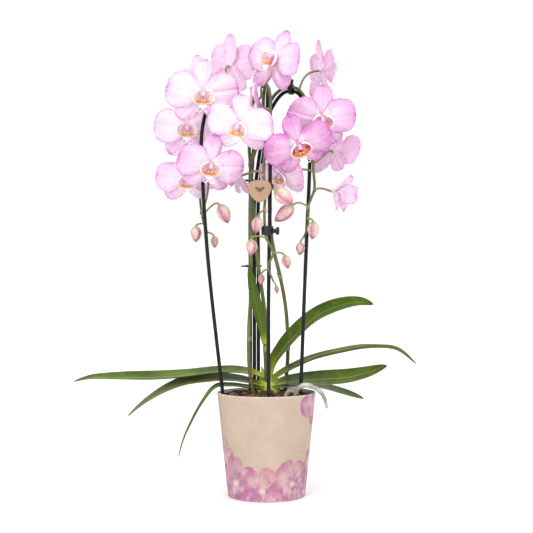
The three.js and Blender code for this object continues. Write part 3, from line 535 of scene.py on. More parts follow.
def make_piece(name, form, node, slot, *materials, sharp=None):
    """Puts a form into a mesh in metres, with its values as attributes, in place of a solid.

    Faces are smooth, apart from edges that turn by more than `sharp` degrees.
    """
    points, quads, tris, finish, values = form.arrays()
    mesh = bpy.data.meshes.new(name)
    mesh.vertices.add(len(points))
    mesh.vertices.foreach_set("co", (points * MM).astype(np.float32).ravel())
    corners = np.concatenate([quads.ravel(), tris.ravel()])
    starts = np.concatenate([np.arange(len(quads)) * 4, quads.size + np.arange(len(tris)) * 3])
    mesh.loops.add(len(corners))
    mesh.loops.foreach_set("vertex_index", corners.astype(np.int32))
    mesh.polygons.add(len(starts))
    mesh.polygons.foreach_set("loop_start", starts.astype(np.int32))
    mesh.polygons.foreach_set("material_index", finish.astype(np.int32))
    mesh.update(calc_edges=True)
    if mesh.validate():
        raise RuntimeError(f"the mesh of {name} isn't valid")
    mesh.shade_smooth()
    if sharp is not None:
        mesh.set_sharp_from_angle(angle=math.radians(sharp))
    for value_name, value in values.items():
        attribute = mesh.attributes.new(value_name, "FLOAT", "POINT")
        attribute.data.foreach_set("value", value.astype(np.float32))
    for material in materials:
        mesh.materials.append(material)
    piece = bpy.data.objects.new(name, mesh)
    bpy.context.scene.collection.objects.link(piece)
    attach(piece, "root")
    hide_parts(node)


# ------------------------------------------------------------------ shader expressions
class Value:
    """One output of a material's nodes. Arithmetic on it adds the Math nodes that work it out."""

    def __init__(self, paint, socket):
        self.paint, self.socket = paint, socket

    def math(self, operation, *others, clamp=False):
        settings = {"operation": operation, "use_clamp": clamp}
        return self.paint.node("ShaderNodeMath", settings, [self, *others])

    def __add__(self, other):
        return self.math("ADD", other)

    def __sub__(self, other):
        return self.math("SUBTRACT", other)

    def __rsub__(self, other):
        return self.paint.node("ShaderNodeMath", {"operation": "SUBTRACT"}, [other, self])

    def __mul__(self, other):
        return self.math("MULTIPLY", other)

    def __truediv__(self, other):
        return self.math("DIVIDE", other)

    def __pow__(self, other):
        return self.math("POWER", other)

    __radd__ = __add__

    def sine(self):
        return self.math("SINE")

    def size(self):
        return self.math("ABSOLUTE")

    def most(self, other):
        return self.math("MAXIMUM", other)

    def clamped(self):
        return self.math("ADD", 0.0, clamp=True)

    def stripes(self, power):
        """Lines of strength 1 where the sine is 1 or -1. A higher power makes them thinner."""
        return self.sine().size() ** power

    def eased(self, low, high):
        """From 0 to 1 as this value goes from low to high, smoothly and no further."""
        settings = {"interpolation_type": "SMOOTHSTEP"}
        return self.paint.node("ShaderNodeMapRange", settings, [self, low, high])

    def bell(self, middle, width):
        """1 at the middle and 0 from `width` away, with smooth flanks."""
        return (self - middle).size().eased(width, 0.0)

    def output(self, name):
        """The output of the same node that has a given name."""
        return Value(self.paint, self.socket.node.outputs[name])


class Paint:
    """A material that is built from expressions. `spot` is the point in the part's frame, in metres."""

    def __init__(self, name):
        self.material = bpy.data.materials.new(name)
        self.material.use_nodes = True
        self.tree = self.material.node_tree
        self.tree.nodes.clear()
        self.spot = self.node("ShaderNodeTexCoord", output="Object")

    def node(self, kind, settings=None, inputs=(), output=0):
        """Adds a node: its settings first, then the values or links of its sockets."""
        made = self.tree.nodes.new(kind)
        for name, setting in (settings or {}).items():
            if name == "stops":
                self.set_stops(made.color_ramp, setting)
            else:
                setattr(made, name, setting)
        pairs = inputs.items() if isinstance(inputs, dict) else enumerate(inputs)
        for key, value in pairs:
            if isinstance(value, Value):
                self.tree.links.new(value.socket, made.inputs[key])
            else:
                made.inputs[key].default_value = value
        return Value(self, made.outputs[output]) if made.outputs else made

    @staticmethod
    def set_stops(ramp, stops):
        for position, _ in stops[1:-1]:
            ramp.elements.new(position)
        for element, (position, colour) in zip(ramp.elements, stops):
            element.position = position
            element.color = (*colour, 1.0)

    def numbers(self, *names):
        """Values that the piece carries at its points."""
        return [self.node("ShaderNodeAttribute", {"attribute_name": n}, output="Fac") for n in names]

    def sheet(self, s, t):
        """A point of a flat pattern, in metres, from its two places in millimetres."""
        return self.node("ShaderNodeCombineXYZ", inputs=[s * MM, t * MM])

    def texture(self, kind, settings, inputs, output, at=None, squeeze=None):
        """A texture at the spot or another point, whose three parts may have a factor each."""
        at = at or self.spot
        if squeeze:
            at = self.node("ShaderNodeVectorMath", {"operation": "MULTIPLY"}, [at, squeeze])
        return self.node(kind, settings, {"Vector": at, **inputs}, output)

    def noise(self, scale, detail=2.0, roughness=0.5, distortion=0.0, **where):
        inputs = {"Scale": scale, "Detail": detail, "Roughness": roughness, "Distortion": distortion}
        return self.texture("ShaderNodeTexNoise", {}, inputs, "Fac", **where)

    def spots(self, scale, feature="F1", **where):
        settings = {"feature": feature}
        return self.texture("ShaderNodeTexVoronoi", settings, {"Scale": scale}, "Distance", **where)

    def mix(self, share, first, second):
        """Two colours mixed by a share, which is cut to 0 to 1. Share 0 gives the first."""
        wide = [value if isinstance(value, Value) else (*value, 1.0) for value in (first, second)]
        settings = {"data_type": "RGBA", "clamp_factor": True}
        # Sockets 6 and 7 are the node's two colours, and its output 2 the mixed colour.
        return self.node("ShaderNodeMix", settings, {0: share, 6: wide[0], 7: wide[1]}, 2)

    def coats(self, colour, *coats):
        """Lays coats over a colour in turn. Each is the share of it that shows, and its colour."""
        for share, coat in coats:
            colour = self.mix(share, colour, coat)
        return colour

    def ramp(self, value, *stops):
        return self.node("ShaderNodeValToRGB", {"stops": stops}, [value])

    def finish(self, colour, roughness, relief, depth, strength=0.6, gloss=0.5, glow=None, **fixed):
        """Closes the material with a Principled shader, bumped by a relief of a depth in metres.

        `gloss` is its specular level. `glow` is how much light spreads under its surface, and how
        far in metres. Other fixed values are set on the sockets of their names.
        """
        fixed["Specular IOR Level"] = gloss
        if glow:
            fixed["Subsurface Weight"], fixed["Subsurface Radius"] = glow
            fixed["Subsurface Scale"] = 1.0
        bump = {"Height": relief, "Distance": depth, "Strength": strength}
        varied = {
            "Base Color": colour, "Roughness": roughness,
            "Normal": self.node("ShaderNodeBump", {}, bump, "Normal")}
        shader = self.node("ShaderNodeBsdfPrincipled", {}, {**varied, **fixed})
        self.node("ShaderNodeOutputMaterial", {}, {"Surface": shader})
        return self.material


# ------------------------------------------------------------------ finishes
def paint_petal(settings):
    """Near white, with lilac towards the rim, fanned veins and a magenta line round the rim.

    `along` runs from the claw to the tip and `across` from side to side. The veins are lines of
    the same `across` over 0.5 + 0.8 `along`, so they fan out. `tone` makes a bloom deeper.
    """
    paint = Paint("orchid petal")
    along, across, tone, face = paint.numbers("along", "across", "tone", "face")
    side = across.size()
    rim = side.most(along)
    outer, throat = along.eased(0.12, 0.42), along.eased(0.3, 0.03)
    fan = across / (along * 0.8 + 0.5) + (paint.noise(70.0, 3.0) - 0.5) * 0.17
    vein = ((fan * 19.0).stripes(9.0) * 0.6 + (fan * 51.0).stripes(6.0) * 0.4) * outer
    blotch, mottle = paint.noise(48.0, 3.0, 0.55), paint.noise(420.0, 3.0, 0.7)
    blush = rim.eased(0.3, 1.0) * (tone * 0.2 + 0.26) + tone * 0.5 + (blotch - 0.5) * 0.5 - 0.1
    blush = blush + (mottle - 0.5) * (rim * 0.9 + 0.1)
    patchy = mottle.eased(0.35, 0.6) * 0.6 + 0.3
    colour = paint.coats(
        settings.pale,
        (blush * outer.eased(0.0, 0.5), settings.pink),
        (vein * (rim.eased(0.45, 0.96) * 0.22 + tone * 0.06 + 0.01), settings.vein),
        (rim.eased(0.87, 0.99) * outer * patchy * (tone * 0.3 + 0.65), settings.vein),
        (throat.bell(0.5, 0.5) * side.eased(0.75, 0.1) * (tone * 0.5 + 0.16), settings.pink),
        (throat.eased(0.6, 1.0) * 0.7, settings.heart),
        ((1.0 - face) * 0.45, settings.back))
    crystals = paint.noise(1400.0, 1.0)
    relief = paint.noise(170.0, 3.0) * 0.6 - vein * 0.35 + crystals * 0.12
    return paint.finish(
        colour, 0.5 + crystals * 0.12, relief, 0.0005, gloss=0.3,
        glow=(0.18, (0.003, 0.0018, 0.0026)), **{"Sheen Weight": 0.08, "Sheen Roughness": 0.4})


def paint_lip(settings):
    """White rims, gold low on the side lobes, and crimson streaks, deeper where `tone` is high.

    `rise` runs from the foot of a lobe to its rim, `turn` round it from below, and `tongue` is 1
    on the middle lobe and 2 in the throat.
    """
    paint = Paint("orchid lip")
    rise, turn, tongue, tone, face = paint.numbers("rise", "turn", "tongue", "tone", "face")
    wander = (paint.noise(260.0) - 0.5) * 0.5
    stripe = (turn * 25.0 + wander * 5.0).stripes(6.0)
    inner, low = rise.eased(0.8, 0.12), turn.eased(0.42, 0.12)
    streaks = stripe * rise.eased(0.72, 0.15) * face * (turn.eased(0.8, 0.3) * 0.75 + tone * 0.5)
    deep = rise.eased(0.8, 0.25) * face * (tone * 1.6 - 0.45) * turn.eased(1.0, 0.5)
    ember = low.eased(0.35, 1.0) * rise.eased(0.6, 0.15)
    lobe = paint.coats(
        settings.white,
        (inner * face * 0.3 + tone * 0.1, settings.lip_pink),
        (turn.eased(0.4, 0.85) * 0.35, settings.lip_pink),
        (streaks, settings.crimson),
        (deep * (stripe * 0.4 + 0.7), settings.crimson),
        (low * rise.eased(1.0, 0.86) * (face * 0.5 + 0.5) * 0.95, settings.gold),
        (ember * (tone * 0.3 + stripe * 0.4 + 0.25), settings.orange))
    flame = (turn * 26.0 + wander * 4.0).stripes(1.2) * 0.75 + 0.25
    middle = paint.coats(
        settings.white,
        (rise.eased(0.75, 0.2) * 0.7, settings.gold),
        (rise.eased(0.78, 0.3) * flame * (tone * 0.35 + 0.6) * 1.05, settings.crimson))
    bars = (turn * 31.0 + wander * 6.0).stripes(3.0)
    throat = paint.mix(bars * 0.95 + tone * 0.45 - 0.2, settings.lip_pink, settings.crimson)
    freckle = paint.spots(1500.0).eased(0.34, 0.14) * inner * 0.2
    colour = paint.coats(lobe, (tongue, middle), (tongue - 1.0, throat), (freckle, settings.crimson))
    return paint.finish(
        colour, 0.4 + paint.noise(500.0) * 0.12, stripe * 0.4 + paint.noise(600.0) * 0.6, 0.0003,
        gloss=0.4, glow=(0.4, (0.004, 0.002, 0.002)))


def paint_bud(settings):
    """Cream and pink, with magenta along the three seams and a browner tip; small buds are redder."""
    paint = Paint("orchid bud")
    along, around, young = paint.numbers("along", "around", "young")
    cloud = paint.noise(130.0, 3.0, 0.6)
    between = (around * math.pi * 3.0).sine().size()
    seam = between.eased(0.44, 0.05)
    veins = (around * 62.0 + cloud * 3.0).stripes(6.0)
    colour = paint.coats(
        settings.cream,
        (between.eased(0.9, 0.2) * 0.6 + along * 0.25 + (cloud - 0.5) * 1.9 + 0.06, settings.blush),
        (young * (cloud * 0.9 + 0.35), settings.young),
        (seam * 0.85 * along.eased(0.0, 0.3), settings.seam),
        (veins * 0.28 * along.eased(0.1, 0.6), settings.seam),
        (along.eased(0.72, 1.0) * 0.7, settings.tip),
        (along.eased(0.26, 0.0) * 0.75, settings.foot))
    relief = (1.0 - seam) * 0.7 + cloud * 0.4 + paint.noise(900.0) * 0.2
    return paint.finish(
        colour, 0.42 + cloud * 0.1, relief, 0.0003, 0.7, gloss=0.4,
        glow=(0.15, (0.003, 0.0018, 0.0015)))


def paint_stem(settings):
    """Olive green with fine lengthwise streaks, tan joint rings, and a brown flush that is partly painted
    shade.
    """
    paint = Paint("flower stem")
    joint, brown, around, fresh = paint.numbers("joint", "brown", "around", "fresh")
    cloud = paint.noise(38.0, 3.0, 0.6)
    streak = paint.noise(1.0, squeeze=(900.0, 900.0, 40.0))
    flecks = paint.spots(420.0).eased(0.22, 0.08)
    colour = paint.coats(
        settings.stem,
        (cloud.eased(0.35, 0.68), settings.stem_light),
        (streak * 0.35, settings.stem_dark),
        # Brown flush: a real brown base, and low on the right spike also painted shade below a leaf.
        ((brown + (cloud - 0.5) * 0.5).clamped() * 0.85, settings.brown),
        (fresh * (streak * 0.3 + 0.5), settings.stalk),
        (flecks * 0.3, settings.brown),
        (joint * 0.85, settings.joint))
    relief = streak * 0.5 + flecks * 0.4 + (around * 44.0).sine() * 0.12
    return paint.finish(
        colour, 0.4 + cloud * 0.15, relief, 0.00025, gloss=0.45, glow=(0.05, (0.001, 0.0015, 0.0005)))


def paint_leaf(settings):
    """Leathery green: a pale sunken midrib, fine parallel veins, mottling and a thin pale rim.

    `olive` and `tan` set how far a leaf leaves plain green, and a tan below 0 darkens it with painted
    shade. The underside is duller.
    """
    paint = Paint("orchid leaf")
    along, across, olive, tan, face = paint.numbers("along", "across", "olive", "tan", "face")
    side = across.size()
    cloud, mottle = paint.noise(26.0, 4.0, 0.6), paint.noise(160.0, 3.0, 0.65)
    lanes = (across * 62.0 + (mottle - 0.5) * 2.2).sine()
    rib = side.eased(0.1, 0.015) * (1.0 - along * 0.4)
    top = paint.coats(
        settings.leaf_dark,
        (cloud.eased(0.32, 0.7), settings.leaf),
        (mottle.eased(0.45, 0.75) * 0.35, settings.leaf_light),
        ((lanes * 0.5 + 0.5) * 0.14, settings.leaf_light),
        (olive * cloud.eased(0.2, 0.75) * 0.85, settings.olive),
        (rib * 0.78, settings.rib),
        (along.eased(0.16, 0.0) * 0.85, settings.sheath),
        (tan * (mottle * 0.8 + cloud * 0.9) * along.eased(0.2, 0.7), settings.tan),
        # Painted shade: a tan below 0 darkens the leaf beyond its base.
        ((tan * -1.0).clamped() * along.eased(0.02, 0.3), settings.leaf_dark),
        (side.eased(0.93, 1.0) * 0.4, settings.rib))
    under = paint.mix(0.55 - tan.size() * 0.5, top, settings.under)
    return paint.finish(
        paint.mix(face, under, top), 0.38 + mottle * 0.16 + (1.0 - face) * 0.2,
        lanes * 0.16 + mottle * 0.35 + cloud * 0.5 - rib * 0.5, 0.0005, gloss=0.08,
        glow=(0.04, (0.0006, 0.0012, 0.0003)))


def paint_sheath(settings):
    """Yellow-green leaf bases with lengthwise ribs, greener above and browner below."""
    paint = Paint("leaf sheath")
    along, across = paint.numbers("along", "across")
    cloud = paint.noise(70.0, 3.0)
    ribs = (across * 40.0 + cloud * 2.0).sine()
    colour = paint.coats(
        settings.sheath,
        (along * 0.45 + cloud * 0.5 - 0.12, settings.leaf),
        ((ribs * 0.5 + 0.5) * 0.3, settings.sheath_light),
        (across.size().eased(0.85, 1.0) * 0.5, settings.leaf),
        (along.eased(0.28, 0.02) * 0.7, settings.brown))
    return paint.finish(
        colour, 0.35 + cloud * 0.12, ribs * 0.3 + cloud * 0.5, 0.0004, gloss=0.45,
        glow=(0.12, (0.001, 0.002, 0.0004)))


def paint_root(settings):
    """Silver-grey and spongy, with tanner patches, pores and fine rings."""
    paint = Paint("air root")
    [along] = paint.numbers("along")
    cloud = paint.noise(90.0, 4.0, 0.65)
    pores = paint.spots(800.0).eased(0.3, 0.0)
    colour = paint.coats(
        settings.root_dark,
        (cloud.eased(0.3, 0.7), settings.root_light),
        (pores * 0.4, settings.root_dark),
        (paint.noise(35.0).eased(0.55, 0.75) * 0.35, settings.olive))
    rings = (along * 150.0 + cloud * 6.0).sine()
    relief = cloud * 0.8 + rings * 0.12 - pores * 0.3
    return paint.finish(colour, 0.72 + cloud * 0.15, relief, 0.0006, 0.8, gloss=0.25)


def paint_bark(settings):
    """Red-brown bark: each chip has its own tone, with layered grain, pale cuts and painted shade in its
    pits.
    """
    paint = Paint("bark chip")
    tone, flat = paint.numbers("tone", "flat")
    grain = paint.noise(190.0, 5.0, 0.7, 0.6, squeeze=(1.0, 1.0, 5.0))
    crack = paint.spots(260.0, "DISTANCE_TO_EDGE", squeeze=(1.0, 1.0, 3.0))
    body = paint.ramp(
        tone * 0.75 + grain * 0.45 - 0.12,
        (0.0, settings.bark_dark), (0.45, settings.bark), (1.0, settings.bark_pale))
    colour = paint.coats(
        body,
        # Painted shade: the cracks and pits of the grain are darkened.
        (crack.eased(0.07, 0.0) * 0.55, settings.bark_dark),
        (flat * grain.eased(0.5, 0.8) * 0.4, settings.bark_pale))
    relief = grain * 0.9 - crack.eased(0.08, 0.0) * 0.5
    return paint.finish(colour, 0.74 + grain * 0.18, relief, 0.0012, 0.9, gloss=0.25)


def paint_wire(settings):
    """Black coated wire: satin, with fine lengthwise scuffs and a little dust."""
    paint = Paint("coated wire")
    scuff = paint.noise(2200.0, 3.0, 0.6, squeeze=(1.0, 1.0, 0.06))
    dust = paint.noise(60.0, 4.0, 0.65)
    colour = paint.mix(dust.eased(0.48, 0.8) * 0.5, settings.black, settings.dust)
    rough = 0.3 + scuff * 0.12 + dust * 0.12
    return paint.finish(colour, rough, scuff * 0.5 + dust * 0.4, 0.00012, 0.5, gloss=0.25)


def paint_plastic(settings):
    """Moulded black plastic: a fine eggshell grain, worn paler in places."""
    paint = Paint("black plastic")
    wear = paint.noise(110.0, 4.0, 0.6)
    colour = paint.mix(wear.eased(0.5, 0.8) * 0.5, settings.black, settings.dust)
    return paint.finish(colour, 0.38 + wear * 0.16, paint.noise(1300.0, 3.0, 0.6), 0.00015, 0.5)


def paint_grow_pot(settings):
    """Thin smoked plastic of the inner pot, dulled by damp bark dust."""
    paint = Paint("grow pot plastic")
    film = paint.noise(40.0, 5.0, 0.7)
    streak = paint.noise(160.0, 3.0, squeeze=(1.0, 1.0, 0.15))
    colour = paint.mix(film * 0.5 + streak * 0.4 - 0.1, settings.black, settings.grow_pot)
    return paint.finish(colour, 0.3 + film * 0.3, streak, 0.0002, 0.4)


# Blossoms of the pot's print: place round the pot and height in millimetres, radius, turn and how
# mauve. Zero is the pot's front.
BLOSSOMS = [
    (-150, 40, 27, 0.3, 0.7), (-122, 16, 33, 0.2, 0.3), (-100, 52, 27, 0.9, 0.5),
    (-84, 14, 32, 0.6, 0.8), (-70, 50, 26, 0.3, 0.35), (-45, 21, 33, 0.1, 0.55),
    (-27, 3, 23, 0.9, 0.75), (-6, 13, 30, 0.45, 0.25), (19, 1, 24, 0.2, 0.6),
    (36, 20, 31, 0.62, 0.3), (62, 7, 29, 0.8, 0.85), (82, 38, 26, 0.35, 0.4),
    (104, 12, 32, 0.1, 0.7), (132, 24, 30, 0.65, 0.2), (157, 8, 30, 0.9, 0.45),
    (70, 119, 31, 0.5, 0.5), (100, 102, 24, 0.1, 0.85), (-146, 118, 28, 0.3, 0.4),
]
PRINT_ROUND = 335.8  # length of the printed sheet round the pot, at the middle of its height


def add_blossom(paint, colour, place, wet, blossom, settings):
    """Washes one five-petalled blossom over the colour so far.

    A share runs from 0 at a petal's middle to 1 at the gap beside it. The petal's rim is at about
    its radius, less 0.34 of it times the share's fifth power, and wanders with the wetness. The
    wash pools at the rim and in the gaps, fine rays run outwards, and the heart is a pale dab with
    a ring of dots.
    """
    s, t, radius, turn, mauve = blossom
    across, up = place[0] - s, place[1] - t
    far = ((across * across + up * up) ** 0.5) / radius
    angle = up.math("ARCTAN2", across)
    part = angle * (2.5 / math.pi) + (wet * 0.3 + turn)
    share = (part.math("FRACT") - 0.5).size() * 2.0
    inside = far / ((share ** 5.0) * -0.34 + (wet * 0.5 + 0.74))
    body = inside.eased(1.04, 0.93)
    pool = inside.eased(0.7, 1.0) * 0.4 + share.eased(0.75, 1.0) * far.eased(0.15, 0.5) * 0.4
    rays = (angle * 32.0 + wet * 12.0).stripes(3.0) * far.eased(0.1, 0.6) * 0.12
    pigment = paint.mix(wet * 2.6 + (mauve - 1.4), settings.print_pink, settings.print_mauve)
    return paint.coats(
        colour,
        (body * (pool + wet.eased(0.34, 0.64) * 0.6 + rays + 0.1), pigment),
        (body * far.eased(0.9, 0.3) * wet.eased(0.62, 0.38) * 0.6, settings.print_light),
        (far.eased(0.16, 0.04) * 0.5, settings.print_heart),
        (far.bell(0.2, 0.06) * (angle * 6.5).stripes(4.0) * 0.4, settings.print_deep))


def paint_card(settings):
    """Kraft card with fine level fibres, a watercolour print of blossoms, and rubbed edges."""
    paint = Paint("printed card")
    x = paint.node("ShaderNodeSeparateXYZ", inputs=[paint.spot])
    turn = x.math("ARCTAN2", x.output("Y") * -1.0)
    s, t = turn * (PRINT_ROUND / (2 * math.pi)), x.output("Z") * (1 / MM)
    sheet = paint.sheet(s, t)
    fibre = paint.noise(2100.0, 4.0, 0.65, at=sheet, squeeze=(0.05, 1.0, 1.0))
    cloud = paint.noise(28.0, 3.0, at=sheet)
    fleck = paint.spots(420.0, at=sheet, squeeze=(0.5, 1.0, 1.0)).eased(0.16, 0.04)
    wet = paint.noise(58.0, 4.0, 0.58, at=sheet)
    colour = paint.coats(
        settings.card_dark,
        (fibre.eased(0.25, 0.7), settings.card),
        (cloud.eased(0.35, 0.7) * 0.4, settings.card_light),
        (fleck * 0.22, settings.card_dark))
    for blossom in BLOSSOMS:
        colour = add_blossom(paint, colour, (s, t), wet, blossom, settings)
    worn = paint.noise(300.0, 3.0).eased(0.35, 0.75)
    ends = (t.eased(123.4, 125.4) + t.eased(1.6, 0.0)).clamped()
    colour = paint.coats(
        colour,
        (fibre.eased(0.62, 0.85) * 0.22, settings.card_light),
        (ends * worn * 0.8, settings.cut_edge))
    relief = fibre * 0.6 + cloud * 0.8 + wet * 0.12
    return paint.finish(colour, 0.62 + fibre * 0.12, relief, 0.0003, 0.5, gloss=0.35)


def paint_cut_edge(settings):
    """The pale cut edge and plain lining of the card."""
    paint = Paint("card lining")
    fibre = paint.noise(500.0, 4.0, 0.65, squeeze=(1.0, 1.0, 6.0))
    colour = paint.mix(fibre.eased(0.3, 0.8) * 0.3, settings.cut_edge, settings.card)
    return paint.finish(colour, 0.7 + fibre * 0.1, fibre, 0.0002, 0.5)


def paint_tag(settings):
    """Thin light wood with level grain, and a small sprig of two leaves pressed into it."""
    paint = Paint("wooden tag")
    s, t, front = paint.numbers("round", "height", "front")
    sheet = paint.sheet(s, t)
    grain = paint.noise(900.0, 4.0, 0.6, 0.4, at=sheet, squeeze=(0.12, 1.0, 1.0))
    rings = paint.noise(180.0, 3.0, at=sheet, squeeze=(0.2, 1.0, 1.0))
    mark = s.bell(0.0, 0.55) * t.eased(-6.5, -5.8) * t.eased(4.0, 3.2)
    for sign in (-1.0, 1.0):
        x, y = s * (0.78 * sign) + t * 0.62 - 2.2, t * 0.78 - s * (0.62 * sign) + 0.4
        mark = mark.most(((x / 4.2) ** 2.0 + (y / 1.9) ** 2.0).eased(1.05, 0.92))
    mark = mark * front
    colour = paint.coats(
        settings.wood_dark,
        (grain.eased(0.3, 0.75), settings.wood),
        (rings.eased(0.45, 0.7) * 0.35, settings.wood_dark),
        (mark * 0.82, settings.mark_brown))
    return paint.finish(
        colour, 0.55 + grain * 0.15, grain * 0.5 - mark * 0.5, 0.0003, gloss=0.3)


def paint_floor(settings):
    """Plain pale paper with a faint tooth."""
    paint = Paint("pale floor")
    tooth = paint.noise(900.0)
    colour = paint.mix(paint.noise(1.5) * 0.15, settings.floor, settings.floor_shade)
    return paint.finish(colour, 0.85 + tooth * 0.1, tooth, 0.0001, 0.3, gloss=0.1)


# ------------------------------------------------------------------ settings
def tint(name, description, default):
    return FloatVectorProperty(
        name=name, description=description, default=default, subtype="COLOR", size=3, min=0, max=1)


def length(name, description, millimetres):
    return FloatProperty(
        name=name, description=description, default=millimetres * MM, unit="LENGTH", min=0)


def strength(name, description, default):
    return FloatProperty(name=name, description=description, default=default, min=0)


class OrchidFlowerSettings(bpy.types.PropertyGroup):
    """Colours and thickness of the blooms, lips and buds"""

    petal_thickness: length("Petal thickness", "Thickness of a petal at its middle", 0.7)
    pale: tint("Pale", "Palest part of a petal", (0.94, 0.745, 0.9))
    pink: tint("Pink", "Pink of a petal towards its rim", (0.55, 0.205, 0.44))
    vein: tint("Vein", "Veins and the fine line round a petal", (0.5, 0.11, 0.46))
    heart: tint("Heart", "Base of the petals", (0.93, 0.85, 0.9))
    back: tint("Back", "Behind the petals", (0.8, 0.56, 0.71))
    white: tint("Lip white", "Rims of the lip", (0.92, 0.84, 0.85))
    lip_pink: tint("Lip pink", "Inside of the lip", (0.96, 0.77, 0.81))
    gold: tint("Lip gold", "Foot of the lip's side lobes", (0.9, 0.5, 0.06))
    orange: tint("Lip orange", "Deepest part of the gold", (0.6, 0.14, 0.015))
    crimson: tint("Lip crimson", "Stripes inside the lip", (0.42, 0.02, 0.07))
    cream: tint("Bud cream", "Palest part of a bud", (0.72, 0.6, 0.47))
    blush: tint("Bud blush", "Pink of a bud", (0.54, 0.19, 0.35))
    seam: tint("Bud seam", "Seams and veins of a bud", (0.45, 0.07, 0.22))
    tip: tint("Bud tip", "Tip of a bud", (0.27, 0.07, 0.1))
    foot: tint("Bud foot", "Green foot of a bud", (0.28, 0.3, 0.09))
    young: tint("Young bud", "Brownish red of a small bud", (0.27, 0.13, 0.075))


class OrchidPlantSettings(bpy.types.PropertyGroup):
    """Colours of the stems, leaves, roots and bark"""

    stem_width: length("Stem width", "Thickness of a flower stem at its foot", 4.8)
    leaf_thickness: length("Leaf thickness", "Thickness of a leaf at its midrib", 1.8)
    chips: IntProperty(name="Chips", description="Number of bark chips", default=190, min=20, max=400)
    stem: tint("Stem", "Olive green of the stems", (0.075, 0.105, 0.022))
    stem_light: tint("Stem light", "Lighter patches of the stems", (0.15, 0.185, 0.045))
    stem_dark: tint("Stem dark", "Darkest streaks of the stems", (0.022, 0.021, 0.009))
    stalk: tint("Stalk", "Paler tan green of the stalks", (0.29, 0.26, 0.12))
    joint: tint("Joint", "Tan rings at the stems' joints", (0.29, 0.21, 0.11))
    # The brown flush also stands for painted shade low on the right spike.
    brown: tint("Brown", "Brown flush of stems and leaves", (0.08, 0.046, 0.02))
    tan: tint("Tan", "Greyish tan flush of older leaves", (0.2, 0.175, 0.085))
    # Leaf dark is also laid over leaves with a tan below 0, as painted shade.
    leaf_dark: tint("Leaf dark", "Darkest green of a leaf", (0.028, 0.066, 0.004))
    leaf: tint("Leaf", "Green of a leaf", (0.082, 0.145, 0.008))
    leaf_light: tint("Leaf light", "Lighter mottling of a leaf", (0.165, 0.22, 0.03))
    olive: tint("Olive", "Olive patches of a leaf", (0.165, 0.14, 0.035))
    under: tint("Under", "Underside of a leaf", (0.13, 0.15, 0.04))
    rib: tint("Midrib", "Midrib and rim of a leaf", (0.3, 0.36, 0.09))
    sheath: tint("Sheath", "Yellow-green leaf bases", (0.41, 0.5, 0.04))
    sheath_light: tint("Sheath light", "Paler ribs of the leaf bases", (0.6, 0.66, 0.15))
    root_light: tint("Root light", "Silvery part of a root", (0.53, 0.51, 0.49))
    root_dark: tint("Root dark", "Greyer part of a root", (0.25, 0.225, 0.18))
    bark: tint("Bark", "Red-brown of a bark chip", (0.115, 0.045, 0.022))
    bark_dark: tint("Bark dark", "Pits and shadows of the bark", (0.018, 0.009, 0.005))
    bark_pale: tint("Bark pale", "Fresh cuts of the bark", (0.33, 0.18, 0.1))


class OrchidPotSettings(bpy.types.PropertyGroup):
    """Sizes and colours of the pots and the tag"""

    height: length("Height", "Height of the outer pot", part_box("pot")[1].z / MM)
    top_radius: length("Top radius", "Radius of the outer pot's rim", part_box("pot")[1].x / MM)
    foot_radius: length("Foot radius", "Radius of the outer pot's foot", 46.9)
    wall: length("Wall", "Thickness of the outer pot's wall", 1.5)
    card: tint("Card", "Kraft card", (0.485, 0.383, 0.3))
    card_light: tint("Card light", "Paler fibres of the card", (0.55, 0.45, 0.37))
    card_dark: tint("Card dark", "Darker fibres of the card", (0.385, 0.288, 0.213))
    cut_edge: tint("Cut edge", "Cut edge and lining of the card", (0.7, 0.67, 0.64))
    print_pink: tint("Print pink", "Pink wash of the print", (0.44, 0.14, 0.24))
    print_mauve: tint("Print mauve", "Mauve wash of the print", (0.3, 0.115, 0.27))
    print_light: tint("Print light", "Pale wash inside a printed blossom", (0.6, 0.42, 0.46))
    print_heart: tint("Print heart", "Pale middle of a printed blossom", (0.7, 0.57, 0.49))
    print_deep: tint("Print deep", "Dots of a printed blossom", (0.29, 0.055, 0.18))
    grow_pot: tint("Grow pot", "Film of dust on the inner pot", (0.09, 0.075, 0.06))
    black: tint("Black", "Black plastic of the inner pot", (0.02, 0.018, 0.017))
    wood: tint("Wood", "Light wood of the tag", (0.42, 0.275, 0.185))
    wood_dark: tint("Wood grain", "Darker grain of the tag", (0.37, 0.215, 0.125))
    mark_brown: tint("Burnt mark", "Sprig that is pressed into the tag", (0.09, 0.05, 0.03))


class OrchidSupportSettings(bpy.types.PropertyGroup):
    """Sizes and colours of the wires, ties and clips"""

    wire_width: length("Wire width", "Thickness of a coated wire", 4.5)
    slack: length("Slack", "Clearance of a band round its wires", 0.8)
    black: tint("Black", "Black of the wires, ties and clips", (0.004, 0.0036, 0.0036))
    dust: tint("Dust", "Scuffs and dust on the black", (0.02, 0.016, 0.014))


class OrchidStageSettings(bpy.types.PropertyGroup):
    """Floor, lights and camera"""

    floor: tint("Floor", "Pale floor", (0.9, 0.9, 0.9))
    floor_shade: tint("Floor shade", "Faint shade of the floor", (0.88, 0.88, 0.885))
    distance: length("Distance", "Camera's distance from the pot's axis", 1450)
    camera_height: length("Camera height", "Camera's height over the floor", 278.2)
    lens: FloatProperty(name="Lens", description="Focal length in millimetres", default=80.41, min=1)
    sky: strength("Sky", "Strength of the even light", 1.0)
    key: strength("Key", "Strength of the main light", 1.3)
    fill: strength("Fill", "Strength of the second light", 0.8)
    back: strength("Back", "Strength of the light from behind", 0.7)


# ------------------------------------------------------------------ pots and bark
def circle(sides):
    """Points of a circle of radius 1, from the front and to its right."""
    angle = angles(sides) - np.pi / 2
    return np.stack([np.cos(angle), np.sin(angle)], -1)


